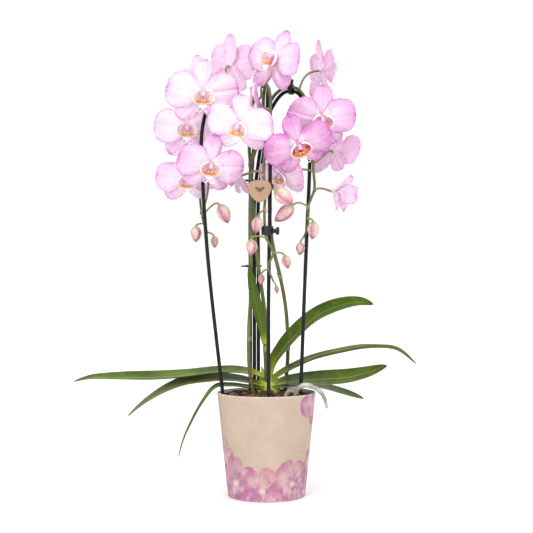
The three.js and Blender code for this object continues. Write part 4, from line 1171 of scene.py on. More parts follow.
OUTER_LEVELS = 26  # points up the outside of a pot's wall
PRINTED = range(3, 5 + OUTER_LEVELS)  # points of the outer pot's profile whose faces carry the print


def wall_radius(settings, inset):
    """Gives the outer pot's radius at a height, less an inset, in millimetres."""
    foot, top = settings.foot_radius / MM, settings.top_radius / MM
    slope = (top - foot) * MM / settings.height

    def radius_at(z):
        return foot + slope * z - inset

    return radius_at


def pot_profile(radius_at, foot, rim, wall, floor):
    """A tapered wall of even thickness with a rounded rim, from the axis round to the axis."""
    outer = np.linspace(foot + 1.2, rim - 0.5, OUTER_LEVELS)
    inner = np.linspace(rim - 0.5, foot + floor + 1.0, 14)
    half = wall / 2
    turn = np.radians([30, 60, 90, 120, 150])
    edge = [(radius_at(rim) - half + half * math.cos(a), rim - 0.5 + 0.5 * math.sin(a)) for a in turn]
    return [
        (0, foot + 0.6), (radius_at(foot) - 3.2, foot + 0.6), (radius_at(foot) - 2.6, foot),
        (radius_at(foot) - 0.5, foot), (radius_at(foot), foot + 0.5),
        *[(radius_at(z), z) for z in outer], *edge,
        *[(radius_at(z) - wall, z) for z in inner],
        (radius_at(foot + floor) - wall - 1.0, foot + floor), (0, foot + floor)]


class ORCHID_OT_pot(bpy.types.Operator):
    """Add the printed outer pot: a cone's wall, with a rounded rim and a recessed foot"""

    bl_idname = "orchid.add_pot"
    bl_label = "Outer Pot"

    def execute(self, context):
        settings = context.scene.orchid_pot
        rim, wall = settings.height / MM, settings.wall / MM
        profile = pot_profile(wall_radius(settings, inset=0.0), 0.0, rim, wall, floor=1.8)
        lining = [int(point not in PRINTED) for point in range(len(profile))]
        form = Form()
        add_turned(form, profile, circle(180), finish=lining)
        finishes = paint_card(settings), paint_cut_edge(settings)
        make_piece("printed_pot", form, "pot", "card", *finishes, sharp=50)
        return {"FINISHED"}


class ORCHID_OT_grow_pot(bpy.types.Operator):
    """Add the thin inner pot that holds the bark: a smooth wall with a rounded rim"""

    bl_idname = "orchid.add_grow_pot"
    bl_label = "Grow Pot"

    def execute(self, context):
        settings = context.scene.orchid_pot
        low, high = (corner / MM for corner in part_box("grow_pot"))
        radius_at = wall_radius(settings, inset=2.0)
        form = Form()
        add_turned(form, pot_profile(radius_at, low[2], high[2], wall=0.8, floor=0.8), circle(120))
        make_piece("inner_pot", form, "grow_pot", "black_plastic", paint_grow_pot(settings), sharp=50)
        return {"FINISHED"}


CHIP_POINTS = 34  # of a bark chip: four levels of eight, and two poles


def add_chips(form, count, wall, brim, seed):
    """Bark chips strewn over a low mound, few faces each, all worked out at once.

    A chip is a flat stub with eight sides and four levels. Its corners are pushed about, and it is
    stretched, tipped and turned at random. It lies deeper the nearer it is to the pot's wall.
    """
    random = np.random.default_rng(seed)
    far = wall * np.sqrt(random.random(count))
    angle = random.uniform(0, 2 * np.pi, count)
    outline = circle(8) * (1 + random.uniform(-0.24, 0.24, (count, 4, 8, 1)))
    level = np.array([-0.85, -0.4, 0.45, 0.85])[None, :, None]
    shrink = np.array([0.72, 1.0, 0.96, 0.68])[None, :, None, None]
    level = level + random.uniform(-0.16, 0.16, (count, 4, 8))
    rings = np.concatenate([outline * shrink, level[..., None]], -1).reshape(count, -1, 3)
    poles = np.broadcast_to([[0, 0, -0.95], [0, 0, 0.95]], (count, 2, 3))
    size = np.stack([
        random.uniform(3.8, 9.2, count), random.uniform(2.8, 5.8, count),
        random.uniform(1.3, 2.9, count)], -1)
    tips = random.uniform(-0.55, 0.55, (2, count, 1))
    spin = random.uniform(0, 2 * np.pi, (count, 1))
    x, y, z = np.moveaxis(np.concatenate([rings, poles], 1) * size[:, None], -1, 0)
    y, z = spun(y, z, tips[0])
    z, x = spun(z, x, tips[1])
    x, y = spun(x, y, spin)
    ground = brim + 6.0 * (1 - far / wall) + random.uniform(-1.4, 1.2, count)
    centres = np.stack([far * np.cos(angle), far * np.sin(angle), ground], -1)
    shift = (np.arange(count) * CHIP_POINTS)[:, None, None]
    quads, tris = (faces + shift for faces in ring_faces(4, 8))
    tone = np.repeat(random.random(count), CHIP_POINTS)
    flat = np.tile(np.repeat([1, 0, 0, 1, 1], [8, 8, 8, 8, 2]), count)
    form.patch(surface(x, y, z) + centres[:, None], quads, tris, tone=tone, flat=flat)


class ORCHID_OT_bark(bpy.types.Operator):
    """Add the bark: a low mound in the grow pot, with chips strewn over it"""

    bl_idname = "orchid.add_bark"
    bl_label = "Bark"

    def execute(self, context):
        plant = context.scene.orchid_plant
        wall = wall_radius(context.scene.orchid_pot, inset=3.1)
        low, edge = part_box("bark")[0].z / MM, wall(BARK_BRIM)
        mound = [(edge * (1 - r), BARK_BRIM - 1.4 + 6.0 * r) for r in np.linspace(0, 1, 9)[:-1]]
        profile = [(0, low), (wall(low) - 0.4, low), *mound, (0, BARK_BRIM + 4.6)]
        form = Form()
        add_turned(form, profile, circle(48), tone=0.1, flat=0.0)
        add_chips(form, plant.chips, edge - 5.5, BARK_BRIM - 0.4, seed=11)
        make_piece("bark_chips", form, "bark", "bark", paint_bark(plant), sharp=28)
        return {"FINISHED"}


# ------------------------------------------------------------------ crown, leaves and roots
def sheath_middle(side, level, rows=22, columns=27):
    """A leaf base that clasps the crown: part of an oval cone round the crown's axis.

    Its upper edge is highest on the side of its leaf and falls with the square of the angle from
    there. It swells a third of the way up and draws in again.
    """
    v, u = grid(rows, columns)
    angle = np.radians(112 - 6 * level) * u
    radius = (12.9 - 1.25 * level) * (0.74 + 0.3 * np.sin(np.pi * (0.1 + 0.72 * v)))
    flare = 1 + 0.28 * v**3 * np.cos(angle / 2)
    top = 23 + 4.4 * level - 15 * u**2
    x = CROWN["x"] + side * radius * flare * np.cos(angle)
    y = CROWN["y"] + radius * np.sin(angle) * CROWN["depth"] * -side
    return surface(x, y, 107 + 2.2 * level + v * top), v, u


class ORCHID_OT_crown(bpy.types.Operator):
    """Add the crown: a spindle wrapped in leaf bases that clasp it from the left and the right"""

    bl_idname = "orchid.add_crown"
    bl_label = "Crown"

    def execute(self, context):
        foot, height, axis = CROWN["foot"], CROWN["height"], (CROWN["x"], CROWN["y"])
        shares = np.linspace(0, 1, 26)
        swell = np.interp(shares, [0, 0.36, 0.68, 0.86, 1], [5.6, 9.6, 11.2, 8.6, 2.6])
        body = [(r, foot + height * share) for r, share in zip(swell, shares)]
        profile = [(0, foot - 0.2), *body, (0, foot + height + 1)]
        form = Form()
        add_turned(form, profile, circle(40), axis, oval=CROWN["depth"], along=0.5, across=0.3)
        for level in range(5):
            middle, along, across = sheath_middle(1 if level % 2 else -1, level)
            add_blade(form, middle, 1.0 - 0.45 * across**2, along=along, across=across)
        make_piece("leaf_sheaths", form, "crown", "crown", paint_sheath(context.scene.orchid_plant))
        return {"FINISHED"}


def leaf_middle(leaf, rows, columns, phase):
    """A strap leaf's middle surface.

    A point is the midrib's, plus the side's share of half the width along the sideways direction,
    plus a lift that grows with the square of the side and makes a shallow channel. Half the width
    grows with the power 0.55 of a sine along the leaf. The rim waves a little, and the midrib is a
    narrow groove.
    """
    a = np.linspace(0, 1, rows)
    along = 0.225 * (1 - np.cos(np.pi * a)) + 0.55 * a
    line = Course(leaf.midrib)
    shares = line.by_length(along)
    place, way = line.at(shares), line.way(shares)
    along = along[:, None]
    base, tip = np.array(leaf.sides)
    wide = base * (1 - along) + tip * along
    wide = unit(wide - (wide * way).sum(1, keepdims=True) * way)
    lift = unit(np.cross(wide, way))
    up = 1.0 if lift[:, 2].sum() > 0 else -1.0
    side = np.linspace(1, -1, columns) * up
    sine = np.maximum(np.sin(np.pi * (0.1 + 0.9 * along)), 0.0015)
    half = leaf.width / 2 * sine**0.55
    wave = 0.55 * side**2 * np.sin(9 * along + phase + 1.4 * side) * np.sin(np.pi * along)
    groove = 0.55 * bell(side, 0, 0.075) * (1 - along**2)
    height = half * leaf.channel * 2 * side**2 + wave - groove
    out = wide[:, None] * (half * side)[..., None] + up * lift[:, None] * height[..., None]
    return place[:, None] + out, along, side


def add_leaf(form, leaf, thickness, rows, columns, phase):
    """A strap leaf, thickest at its midrib and thinner towards its rims and tip."""
    middle, along, across = leaf_middle(leaf, rows, columns, phase)
    depth = thickness * (0.34 + 0.66 * np.sqrt(np.clip(1 - across**2, 0, 1)))
    depth = depth * (1 - 0.45 * along**4)
    add_blade(form, middle, depth, along=along, across=across, olive=leaf.olive, tan=leaf.tan)


class ORCHID_OT_leaves(bpy.types.Operator):
    """Add the strap leaves and the narrow leaf that stands at a joint of the left stem"""

    bl_idname = "orchid.add_leaves"
    bl_label = "Leaves"

    def execute(self, context):
        settings = context.scene.orchid_plant
        thickness, finish = settings.leaf_thickness / MM, paint_leaf(settings)
        for number, (name, leaf) in enumerate(LEAVES.items()):
            form = Form()
            add_leaf(form, leaf, thickness, rows=110, columns=37, phase=1.7 * number)
            make_piece(f"fine_{name}", form, name, "leaf", finish)
        form = Form()
        add_leaf(form, BRACT_LEAF, thickness * 0.8, rows=60, columns=17, phase=0.4)
        make_piece("fine_leaf_bract", form, "leaf_bract", "bract", finish)
        return {"FINISHED"}


class ORCHID_OT_roots(bpy.types.Operator):
    """Add the air roots: tubes of slightly uneven thickness with a blunt tip"""

    bl_idname = "orchid.add_roots"
    bl_label = "Air Roots"

    def execute(self, context):
        finish = paint_root(context.scene.orchid_plant)
        share, sides = np.linspace(0, 1, 90), 24
        uneven = 1 + 0.05 * np.sin(31 * share) + 0.035 * np.sin(67 * share + 1)
        around, rows = angles(sides), share[:, None]
        relief = 1 + 0.04 * np.sin(3 * around + 14 * rows) + 0.02 * np.sin(7 * around - 40 * rows)
        for name, (path, radius) in ROOTS.items():
            form = Form()
            radius = radius * (1 - 0.45 * share**3) * uneven
            add_tube(form, Course(path).at(share), radius, sides, cap=(0.6, 1.1), relief=relief)
            make_piece(f"fine_{name}", form, name, "root", finish)
        return {"FINISHED"}


# ------------------------------------------------------------------ stems, stalks and buds
def facing(turn, tilt, roll):
    """Turns a bloom's own frame, in which it faces +Z with +Y up, to where it faces."""
    return turned("z", turn) @ turned("x", 90) @ turned("x", -tilt) @ turned("z", -roll)


def stalk_line(start, end, leave, arrive, count=26):
    """A Bezier line that sets out along one direction and arrives along another."""
    reach = np.linalg.norm(end - start) * 0.4
    return bezier(start, start + unit(leave) * reach, end - arrive * reach, end, count)


def add_stalk(form, line, radius, brown):
    """A thin tube that widens towards its flower, with a small swelling where it starts."""
    share = np.linspace(0, 1, len(line))
    swell = 1 + 0.25 * share + 0.5 * bell(share, 0, 0.07)
    add_tube(form, line, radius * swell, sides=14, cap=(0.8, 0.3), joint=0.55 * bell(share, 0, 0.06),
             brown=brown, fresh=1.0)


def add_bud(form, foot, tip, width, finish):
    """A bud: a spindle, widest two fifths of the way down, with three shallow seams along it.

    Its radius is half the width times a sine to the power 0.64, and the seams lie where the sine
    of 1.5 times the angle is 0. The line from foot to tip bows a little.
    """
    share, sides = np.linspace(0.03, 0.975, 34), 36
    swell = np.sin(np.pi * share**0.8) ** 0.64
    arch = np.sin(np.pi * share)[:, None]
    bow = np.cross(unit(tip - foot), [0.3, 1, 0.2]) * 0.05 * width
    line = foot + (tip - foot) * share[:, None] + bow * arch
    around = angles(sides)
    seam = bell(np.sin(1.5 * around), 0, 0.2)
    relief = 1.01 - 0.075 * seam * arch**0.5 + 0.025 * np.cos(3 * around - np.pi) * arch
    add_tube(form, line, width / 2 * swell, sides, cap=(0.35, 0.7), finish=finish, relief=relief,
             young=np.interp(width, [6, 15], [1, 0]))


def add_bract(form, place, way, side, radius, size):
    """A dry scale that clasps a stem at a joint: part of a tube, drawn to a point."""
    v, u = (part[..., None] for part in grid(12, 13))
    angle = 1.75 * u * (1 - v**1.8) * 0.9
    third = np.cross(way, side)
    out = radius * (1.12 + 0.35 * v**2) + 0.15
    middle = place + way * (v * size - 0.8) + out * (side * np.cos(angle) + third * np.sin(angle))
    add_blade(form, middle, 0.35, joint=0.95, brown=0.3)


def stem_radius(shares, width):
    """Half the stem's width at its foot, easing to half as much with the power 1.5."""
    return width / 2 * (1 - 0.5 * shares**1.5)


def add_stem(form, name, width):
    """A flower stem: a tapering tube with swollen rings at its joints, and a scale at each."""
    line = SPIKE_LINES[name]
    table = np.linspace(0, 1, 560)
    points = line.at(table)
    lengths = travelled(points)
    joint = np.zeros(len(table))
    ways, first, second = frames_along(points)
    for number, place in enumerate(JOINTS[name]):
        at = line.nearest(place)
        joint = np.maximum(joint, bell(lengths, np.interp(at, table, lengths), 1.9))
        k = int(np.argmin(np.abs(table - at)))
        turn = 2.4 * number
        side = first[k] * math.cos(turn) + second[k] * math.sin(turn)
        radius = stem_radius(table[k], width)
        add_bract(form, points[k], ways[k], side, radius, 7.5 - 3 * table[k])
    radius = stem_radius(table, width) * (1 + 0.2 * joint)
    # Darker towards the foot, below 205 mm: a real brown base on each spike, and on the right spike, which
    # gets the most, also painted shade below the leaf in front of it.
    low = ease(points[:, 2], 205, 150) * (table < 0.4)
    brown = 0.2 + (0.95 if name == "right" else 0.7) * low
    add_tube(form, points, radius, sides=16, cap=(0.4, 0.9), joint=joint, brown=brown)


def add_bloom_stalks(form, spike, line):
    """A stalk from the stem to the back of each of its blooms."""
    for name, bloom in BLOOMS.items():
        if name.startswith(spike):
            ahead = facing(*bloom.facing) @ [0, 0, 1]
            end = np.array(bloom.middle) - ahead * 3.0 * bloom.size
            begin = line.at(line.nearest(bloom.start, LOW_SHARE))
            add_stalk(form, stalk_line(begin, end, np.array(bloom.leave), ahead), radius=1.2, brown=0.5)


def add_hanging_buds(form, spike, line):
    """The buds of a stem. Each one's stalk sets out a little upwards and arrives along the bud."""
    for foot, tip, width, start in BUDS[spike]:
        foot, tip = np.array(foot, float), np.array(tip, float)
        hang = unit(tip - foot)
        begin, end = line.at(line.nearest(start, LOW_SHARE)), foot + hang * width / 10
        leave = unit(end - begin) + [0, 0, 0.35]
        add_stalk(form, stalk_line(begin, end, leave, hang), radius=0.96, brown=0.12)
        add_bud(form, foot, tip, width, 1)


class ORCHID_OT_spikes(bpy.types.Operator):
    """Add the three flower spikes: stems with ringed joints, stalks to the blooms, and buds"""

    bl_idname = "orchid.add_spikes"
    bl_label = "Stems and Buds"

    def execute(self, context):
        plant, flowers = context.scene.orchid_plant, context.scene.orchid_flowers
        finishes = paint_stem(plant), paint_bud(flowers)
        for name, line in SPIKE_LINES.items():
            form = Form()
            add_stem(form, name, plant.stem_width / MM)
            add_bloom_stalks(form, name, line)
            add_hanging_buds(form, name, line)
            make_piece(f"fine_spike_{name}", form, f"spike_{name}", "stem", *finishes)
        return {"FINISHED"}


# ------------------------------------------------------------------ blooms
def petal_middle(shape, rows, columns):
    """A petal's middle surface, pointing along +X and facing +Z.

    An angle runs through 0.895 of a half turn from the claw to the tip. The length is its cosine's
    share of the way, and the width goes with its sine to the power 0.85, narrowed at the claw and
    broader towards the tip.
    Along its middle the petal rises and falls back. Its sides fold from there, and its rim waves,
    with a finer frill close to the edge and a crease along the middle.
    """
    a, side = grid(rows, columns)
    phase = shape["phase"]
    turn = np.pi * (0.1 + 0.895 * a)
    out = (1 - np.cos(turn)) / 2
    width = shape["half"] * np.sin(turn) ** 0.85 * np.minimum(1, 0.35 + 2.2 * out)
    width = width * (0.85 + 0.3 * out)
    ripple = shape["wave"] * side**2 * np.sin(shape["waves"] * np.pi * out + phase + side)
    frill = 0.02 * np.abs(side) ** 5 * np.sin(8.3 * np.pi * out + 2.3 * phase + side)
    frill = frill * np.sin(turn) + 0.014 * out**8 * np.sin(9 * side + phase)
    fan = side / (0.5 + 0.8 * out)
    pleats = 0.0065 * np.sin(9.5 * fan + phase) * np.sin(np.pi * out) ** 0.7
    swell = 0.022 * np.sin(4.2 * out + 2.1 * side + phase * 2) * out
    crease = 0.026 * bell(side, 0, 0.1) * np.sin(turn) ** 0.5 - pleats - swell
    height = shape["rise"] * out - shape["fall"] * out**2 - shape["fold"] * side**2 * np.sin(turn)
    points = surface(out, width * side / shape["length"], height + ripple + frill - crease)
    return points * shape["length"], out, side


def petal_plans(opened, seed):
    """The five petals' shapes, axes, leans and depths, from the same draws as the solids'."""
    numbers = draws(seed)

    def vary(amount):
        return (next(numbers) * 2 - 1) * amount

    shut = 1 - opened
    plans = []
    for axis, swing, lean, broad in (
        (10, 4, 4, True), (170, 4, 4, True), (90, 3, 0, False), (-48, 4, -4, False),
        (228, 4, -4, False),
    ):
        if broad:
            shape = {
                "length": BLOOM_RADIUS, "half": 21.5 - 11.5 * shut, "rise": 0.2 + vary(0.05),
                "fall": 0.26 + vary(0.06) - 0.5 * shut, "fold": 0.08 + vary(0.05) - 0.5 * shut,
                "wave": 0.05, "waves": 3, "phase": vary(3)}
        else:
            shape = {
                "length": BLOOM_RADIUS * 0.93, "half": 12.4 - 1.9 * shut,
                "rise": 0.12 + vary(0.03), "fall": 0.18 + vary(0.06) - 0.4 * shut,
                "fold": 0.06 - 0.4 * shut, "wave": 0.02, "waves": 2, "phase": vary(3)}
        plans.append((shape, axis + vary(swing), lean + 50 * shut, 0.9 if broad else -2.2))
    return plans


def add_petals(form, opened, seed, thickness, tone):
    """Two broad petals and three sepals round the bloom's middle, thinner towards their rims."""
    for shape, axis, lean, depth in petal_plans(opened, seed):
        middle, along, across = petal_middle(shape, rows=44, columns=45)
        place = turned("z", axis) @ turned("y", -lean)
        rim = np.maximum(np.abs(across), along) ** 4
        add_blade(form, middle @ place.T + [0, 0, depth], thickness * (1 - 0.55 * rim),
                  along=along, across=across, tone=tone)


def add_column(form, tone):
    """The bloom's middle: a short column that nods over the lip, with a rounded cap at its end."""
    line = bezier((0, 1.0, -3.4), (0, 3.2, 3.0), (0, 3.6, 7.4), (0, 1.0, 9.8), 26)
    share = np.linspace(0, 1, len(line))
    radius = 2.2 + 1.8 * bell(share, 0.05, 0.2) + 0.45 * bell(share, 0.88, 0.14)
    add_tube(form, line, radius, sides=24, cap=(0.6, 0.7), oval=0.84, tone=max(tone, 0.55),
             across=0.0, face=1.0, along=0.2 - 0.06 * bell(share, 1.0, 0.12))


class ORCHID_OT_blooms(bpy.types.Operator):
    """Add the blooms: petals, sepals and column at each bloom's place, facing and size"""

    bl_idname = "orchid.add_blooms"
    bl_label = "Blooms"

    def execute(self, context):
        settings = context.scene.orchid_flowers
        thickness, finish = settings.petal_thickness / MM, paint_petal(settings)
        for seed, (name, bloom) in enumerate(BLOOMS.items()):
            form = Form()
            add_petals(form, bloom.opened, seed, thickness, bloom.tone)
            add_column(form, bloom.tone)
            form.move(facing(*bloom.facing) * bloom.size, bloom.middle)
            make_piece(f"fine_bloom_{name}", form, f"bloom_{name}", "petal", finish)
        return {"FINISHED"}


def add_lip_lobe(form, sign, tone):
    """A side lobe: part of a cone round the column that widens forwards and curls in at its rim.

    `rise` goes from its foot to its rim, and `turn` from its lower end to its upper end.
    """
    a, b = np.linspace(0, 1, 34)[::-sign, None], np.linspace(0, 1, 18)
    angle = np.radians(-62 + 128 * a)
    height = np.sin(np.pi * (0.12 + 0.76 * a))
    radius = 7.2 + 7.6 * b * height + 1.6 * np.sin(np.pi * b) - 2.0 * b**4
    x = sign * radius * np.cos(angle)
    y = radius * np.sin(angle) - 1.5
    z = 6.0 + 8 * b * height + 0.4 * b**2 * np.sin(11 * a + 1)
    add_blade(form, surface(x, y, z), 0.75 - 0.4 * b**3, rise=b, turn=a, tongue=0.0, tone=tone)


def add_lip_tongue(form, tone):
    """The middle lobe: a keeled tongue that runs forwards and down, between two raised shoulders."""
    b, side = grid(30, 21)
    half = 3.0 + 3.9 * np.sin(np.pi * b) * b
    shoulder = 1.2 * bell(b, 0.38, 0.2) * side**2
    keel = 0.8 * bell(side, 0, 0.22) * np.sin(np.pi * np.clip(b * 1.15, 0, 1))
    middle = surface(
        side * half * (1 - 0.7 * b**6), -5.3 - 9.8 * b, 6.0 + 12.6 * b - 7 * b**2 + shoulder + keel)
    add_blade(form, middle, 1.1 - 0.4 * np.abs(side) ** 3, rise=b, turn=side * 0.5 + 0.5,
              tongue=1.0, tone=tone)


def add_lip_curls(form, tone):
    """Two thin curls at the tip of the tongue, which bend outwards, up and back."""
    for sign in (-1, 1):
        places = [
            (0.6 * sign, -14.6, 11.6), (1.9 * sign, -17.2, 12.6), (4.7 * sign, -18.2, 14.0),
            (6.9 * sign, -16.4, 14.8), (6.4 * sign, -14.0, 14.8), (4.9 * sign, -13.8, 14.0)]
        share = np.linspace(0, 1, 30)
        add_tube(form, Course(places).at(share), 0.7 - 0.46 * share, sides=8, cap=(0.5, 1.0),
                 rise=0.98, turn=0.5, tongue=1.0, tone=tone, face=1.0)


def add_lip_heart(form, tone):
    """The lip's claw, and the two-humped callus that stands on it between the side lobes."""
    v, u = grid(12, 13)
    width = 7.3 * u * np.sin(np.pi * (0.15 + 0.75 * v)) ** 0.5
    wall = surface(width, 6.8 - 12.8 * v, 3.2 + 1.8 * u**2 + 1.6 * v)
    add_blade(form, wall, 0.5, rise=v * 0.5, turn=u * 0.5 + 0.5, tongue=2.0, tone=tone)
    claw = bezier((0, -1.5, 1.5), (0, -4.4, 2.8), (0, -6.6, 4.8), (0, -7.6, 8.0), 16)
    add_tube(form, claw, 2.7, sides=16, cap=(0.5, 0.9), oval=0.8, rise=0.3, turn=0.45, tongue=0.0,
             tone=tone, face=1.0)
    for sign in (-1, 1):
        places = [(1.1 * sign, -6.4, 7.4), (1.6 * sign, -5.4, 9.6), (2.2 * sign, -5.2, 11.2)]
        share = np.linspace(0, 1, 14)
        add_tube(form, Course(places).at(share), 1.5 - 0.5 * share, sides=12, cap=(0.6, 1.0),
                 rise=0.55, turn=0.12, tongue=0.0, tone=tone, face=1.0)


class ORCHID_OT_lips(bpy.types.Operator):
    """Add the lips: two side lobes, a keeled tongue with curls, and a callus"""

    bl_idname = "orchid.add_lips"
    bl_label = "Lips"

    def execute(self, context):
        finish = paint_lip(context.scene.orchid_flowers)
        for name, bloom in BLOOMS.items():
            if bloom.opened < 1:
                continue
            form = Form()
            add_lip_lobe(form, 1, bloom.tone)
            add_lip_lobe(form, -1, bloom.tone)
            for add_part in (add_lip_tongue, add_lip_curls, add_lip_heart):
                add_part(form, bloom.tone)
            form.move(facing(*bloom.facing) * bloom.size, bloom.middle)
            make_piece(f"fine_lip_{name}", form, f"lip_{name}", "lip", finish)
        return {"FINISHED"}


# ------------------------------------------------------------------ wires, ties, clips and tag
class ORCHID_OT_hoops(bpy.types.Operator):
    """Add the three hoops: round coated wires that are bent over and stand in the pot"""

    bl_idname = "orchid.add_hoops"
    bl_label = "Wire Hoops"

    def execute(self, context):
        settings = context.scene.orchid_support
        finish = paint_wire(settings)
        for name, line in HOOP_LINES.items():
            form = Form()
            add_tube(form, line.at(np.linspace(0, 1, 420)), settings.wire_width / MM / 2, sides=20)
            make_piece(f"fine_hoop_{name}", form, f"hoop_{name}", "wire", finish)
        return {"FINISHED"}


def band_outline(circles, extra, count=110):
    """The outline of a taut band round some circles, with its outward directions.

    A circle is its x, its y and its radius. For each direction the outline has the point of the
    circle that reaches furthest that way. The points are then spaced evenly.
    """
    angle = angles(720)
    ways = surface(np.cos(angle), np.sin(angle), 0.0)
    furthest = circles[(ways[:, :2] @ circles[:, :2].T + circles[:, 2]).argmax(1)]
    outline = furthest * [1, 1, 0] + ways * (furthest[:, 2:] + extra)
    closed = np.vstack([outline, outline[:1]])
    turns = np.vstack([ways, ways[:1]])
    lengths = travelled(closed)
    even = np.linspace(0, lengths[-1], count, endpoint=False)

    def pick(table):
        return np.stack([np.interp(even, lengths, column) for column in table.T], -1)

    return pick(closed), unit(pick(turns))


def rounded_section(width, height, count=20, power=0.45):
    """A rectangle with rounded corners: a sine and a cosine, each to a power below 1."""
    angle = angles(count)
    corner = np.stack([np.cos(angle), np.sin(angle)], -1)
    return np.sign(corner) * np.abs(corner) ** power * [width / 2, height / 2]


def band_frame(band, wire_radius):
    """A band's own frame, square to its wire, and the circles that it goes round."""
    host = HOOP_LINES[band.host]
    at = host.nearest(band.place)
    origin, along = host.at(at), host.way(at)
    across = unit(np.cross([0, -1, 0], along))
    basis = np.stack([across, np.cross(along, across), along])
    circles = [(0.0, 0.0, wire_radius)]
    others = [(HOOP_LINES[name], wire_radius) for name in band.wires]
    others += [(SPIKE_LINES[name], STEM_RADIUS) for name in band.stems]
    for line, radius in others:
        near = line.nearest(origin, 0.05)
        ways = near + np.linspace(-0.03, 0.03, 241)
        crossing = ways[np.argmin(np.abs((line.at(ways) - origin) @ along))]
        x, y, _ = basis @ (line.at(crossing) - origin)
        circles.append((x, y, radius))
    return origin, basis, np.array(circles)


def add_tail(form, x, y):
    """A tie's tail: a flat tapering strip with fine teeth, bent a little."""
    v, u = grid(40, 7)
    teeth = 0.12 * np.sin(60 * v) * (1 - v)
    middle = surface(x + 7.6 * v, y + 0.5 * v**2 + teeth * u**2, u * (1.05 - 0.5 * v**3))
    add_blade(form, middle, 1.0 - 0.35 * v)
    head = surface(x - 0.9 + 2.2 * np.linspace(0, 1, 8), y, 0.0)
    add_tube(form, head, 1.45, sides=12, cap=(0.5, 0.5))


def add_ears(form, x, y):
    """A clip's two ears: short curved tabs with thickened ends."""
    v, u = grid(18, 9)
    for sign in (-1, 1):
        middle = surface(
            x - 1.0 + 5.8 * v, y + sign * (0.5 + 1.5 * v**1.4), u * (2.1 - 0.35 * v**2))
        add_blade(form, middle, 1.15 + 0.5 * bell(v, 0.93, 0.12))


def add_knob(form, x, y):
    """A clip's knob: a turned neck and a fluted head, along the frame's X."""
    places = np.array([-1.0, -0.4, 1.2, 2.6, 3.1, 3.3, 3.9, 6.0, 6.5, 6.7])
    radii = np.array([2.4, 2.7, 2.6, 2.6, 3.2, 4.3, 4.7, 4.7, 4.3, 3.4])
    sides = 48
    flutes = 1 - 0.05 * (np.sin(6 * angles(sides)) ** 2) * (places[:, None] > 3.0)
    add_tube(form, surface(x + places, y, 0.0), radii, sides, cap=(0.1, 0.12), relief=flutes)


class Band(NamedTuple):
    """A tie or clip: its place on a hoop, what else it goes round, its section and its trim."""

    host: str
    place: tuple
    wires: tuple
    stems: tuple
    height: float
    wall: float
    trim: object


STEM_RADIUS = 2.4  # of a stem inside a band
BANDS = {
    "tie_low": Band("front", (-10, 26, 277), ("left", "right"), (), 2.4, 1.0, add_tail),
    "tie_middle": Band("right", (-13, 26, 384), ("left", "front"), ("left",), 2.4, 1.0, add_tail),
    "tie_high": Band("right", (-5, 24, 432), ("front",), ("centre",), 2.4, 1.0, add_tail),
    "clip_knob": Band("front", (4, -50, 322), (), ("centre",), 11.0, 1.5, add_knob),
    "clip_left": Band("left", (-34, 6, 485), (), ("left",), 5.0, 1.4, add_ears),
    "clip_right": Band("right", (30, 1, 492), (), ("right",), 5.0, 1.4, add_ears),
    "clip_tag": Band("front", (4.2, -50, 371), (), ("centre",), 7.0, 1.2, None),
}


class ORCHID_OT_bands(bpy.types.Operator):
    """Add the ties and clips: rounded bands round the wires and stems, with tails, ears or a knob"""

    bl_idname = "orchid.add_bands"
    bl_label = "Ties and Clips"

    def execute(self, context):
        settings = context.scene.orchid_support
        slack, finish = settings.slack / MM, paint_plastic(settings)
        for name, band in BANDS.items():
            origin, basis, circles = band_frame(band, settings.wire_width / MM / 2)
            outline, outward = band_outline(circles, slack + band.wall / 2)
            form = Form()
            add_loop(form, outline, outward, rounded_section(band.wall, band.height))
            if band.trim:
                x, y, radius = circles[np.argmax(circles[:, 0] + circles[:, 2])]
                band.trim(form, x + radius + slack + band.wall, y)
            form.move(basis.T, origin)
            make_piece(f"fine_{name}", form, name, "black_plastic", finish, sharp=40)
        return {"FINISHED"}


TAG_PLACE, TAG_TURN = (-8, -62.6, 367), 8
TAG_SIZE = 13.0  # the tag's outline is given in parts of it


class ORCHID_OT_tag(bpy.types.Operator):
    """Add the tag: a rounded triangle of thin wood with its point down and softened edges"""

    bl_idname = "orchid.add_tag"
    bl_label = "Tag"

    def execute(self, context):
        corners = [
            ((0, -1.1), (0.7, -0.95), (1.3, 0.1), (0.95, 0.62)),
            ((0.95, 0.62), (0.7, 1.02), (-0.7, 1.02), (-0.95, 0.62)),
            ((-0.95, 0.62), (-1.3, 0.1), (-0.7, -0.95), (0, -1.1))]
        outline = np.vstack([bezier(*corner, 33)[:-1] for corner in corners]) * TAG_SIZE
        profile = [(0, 0), (0.5, 0), (0.9, 0), (0.975, 0.08), (1, 0.4), (1, 1.0), (0.975, 1.32),
                   (0.9, 1.4), (0.5, 1.4), (0, 1.4)]
        form = Form()
        add_turned(form, profile, outline)
        local = np.vstack(form.points)
        form.values = {"round": [local[:, 0]], "height": [local[:, 1]], "front": [local[:, 2] > 1.2]}
        form.move(turned("x", 90) @ turned("y", TAG_TURN), TAG_PLACE)
        make_piece("fine_tag", form, "tag", "tag", paint_tag(context.scene.orchid_pot), sharp=40)
        return {"FINISHED"}


# ------------------------------------------------------------------ stage
def add_light(name, place, softness, strength):
    """A far light with a soft edge, which shines from a place towards the pot."""
    data = bpy.data.lights.new(name, "SUN")
    data.angle, data.energy = math.radians(softness), strength
    light = bpy.data.objects.new(name, data)
    light.location = place
    way = -np.array(place, float)
    light.rotation_euler = (
        math.atan2(math.hypot(way[0], way[1]), -way[2]), 0.0, math.atan2(way[1], way[0]) - math.pi / 2)
    bpy.context.scene.collection.objects.link(light)


FLOOR_RADIUS = 30.0  # in metres, as is the next
FLOOR_DROP = 0.0002  # from the pot's foot to the floor


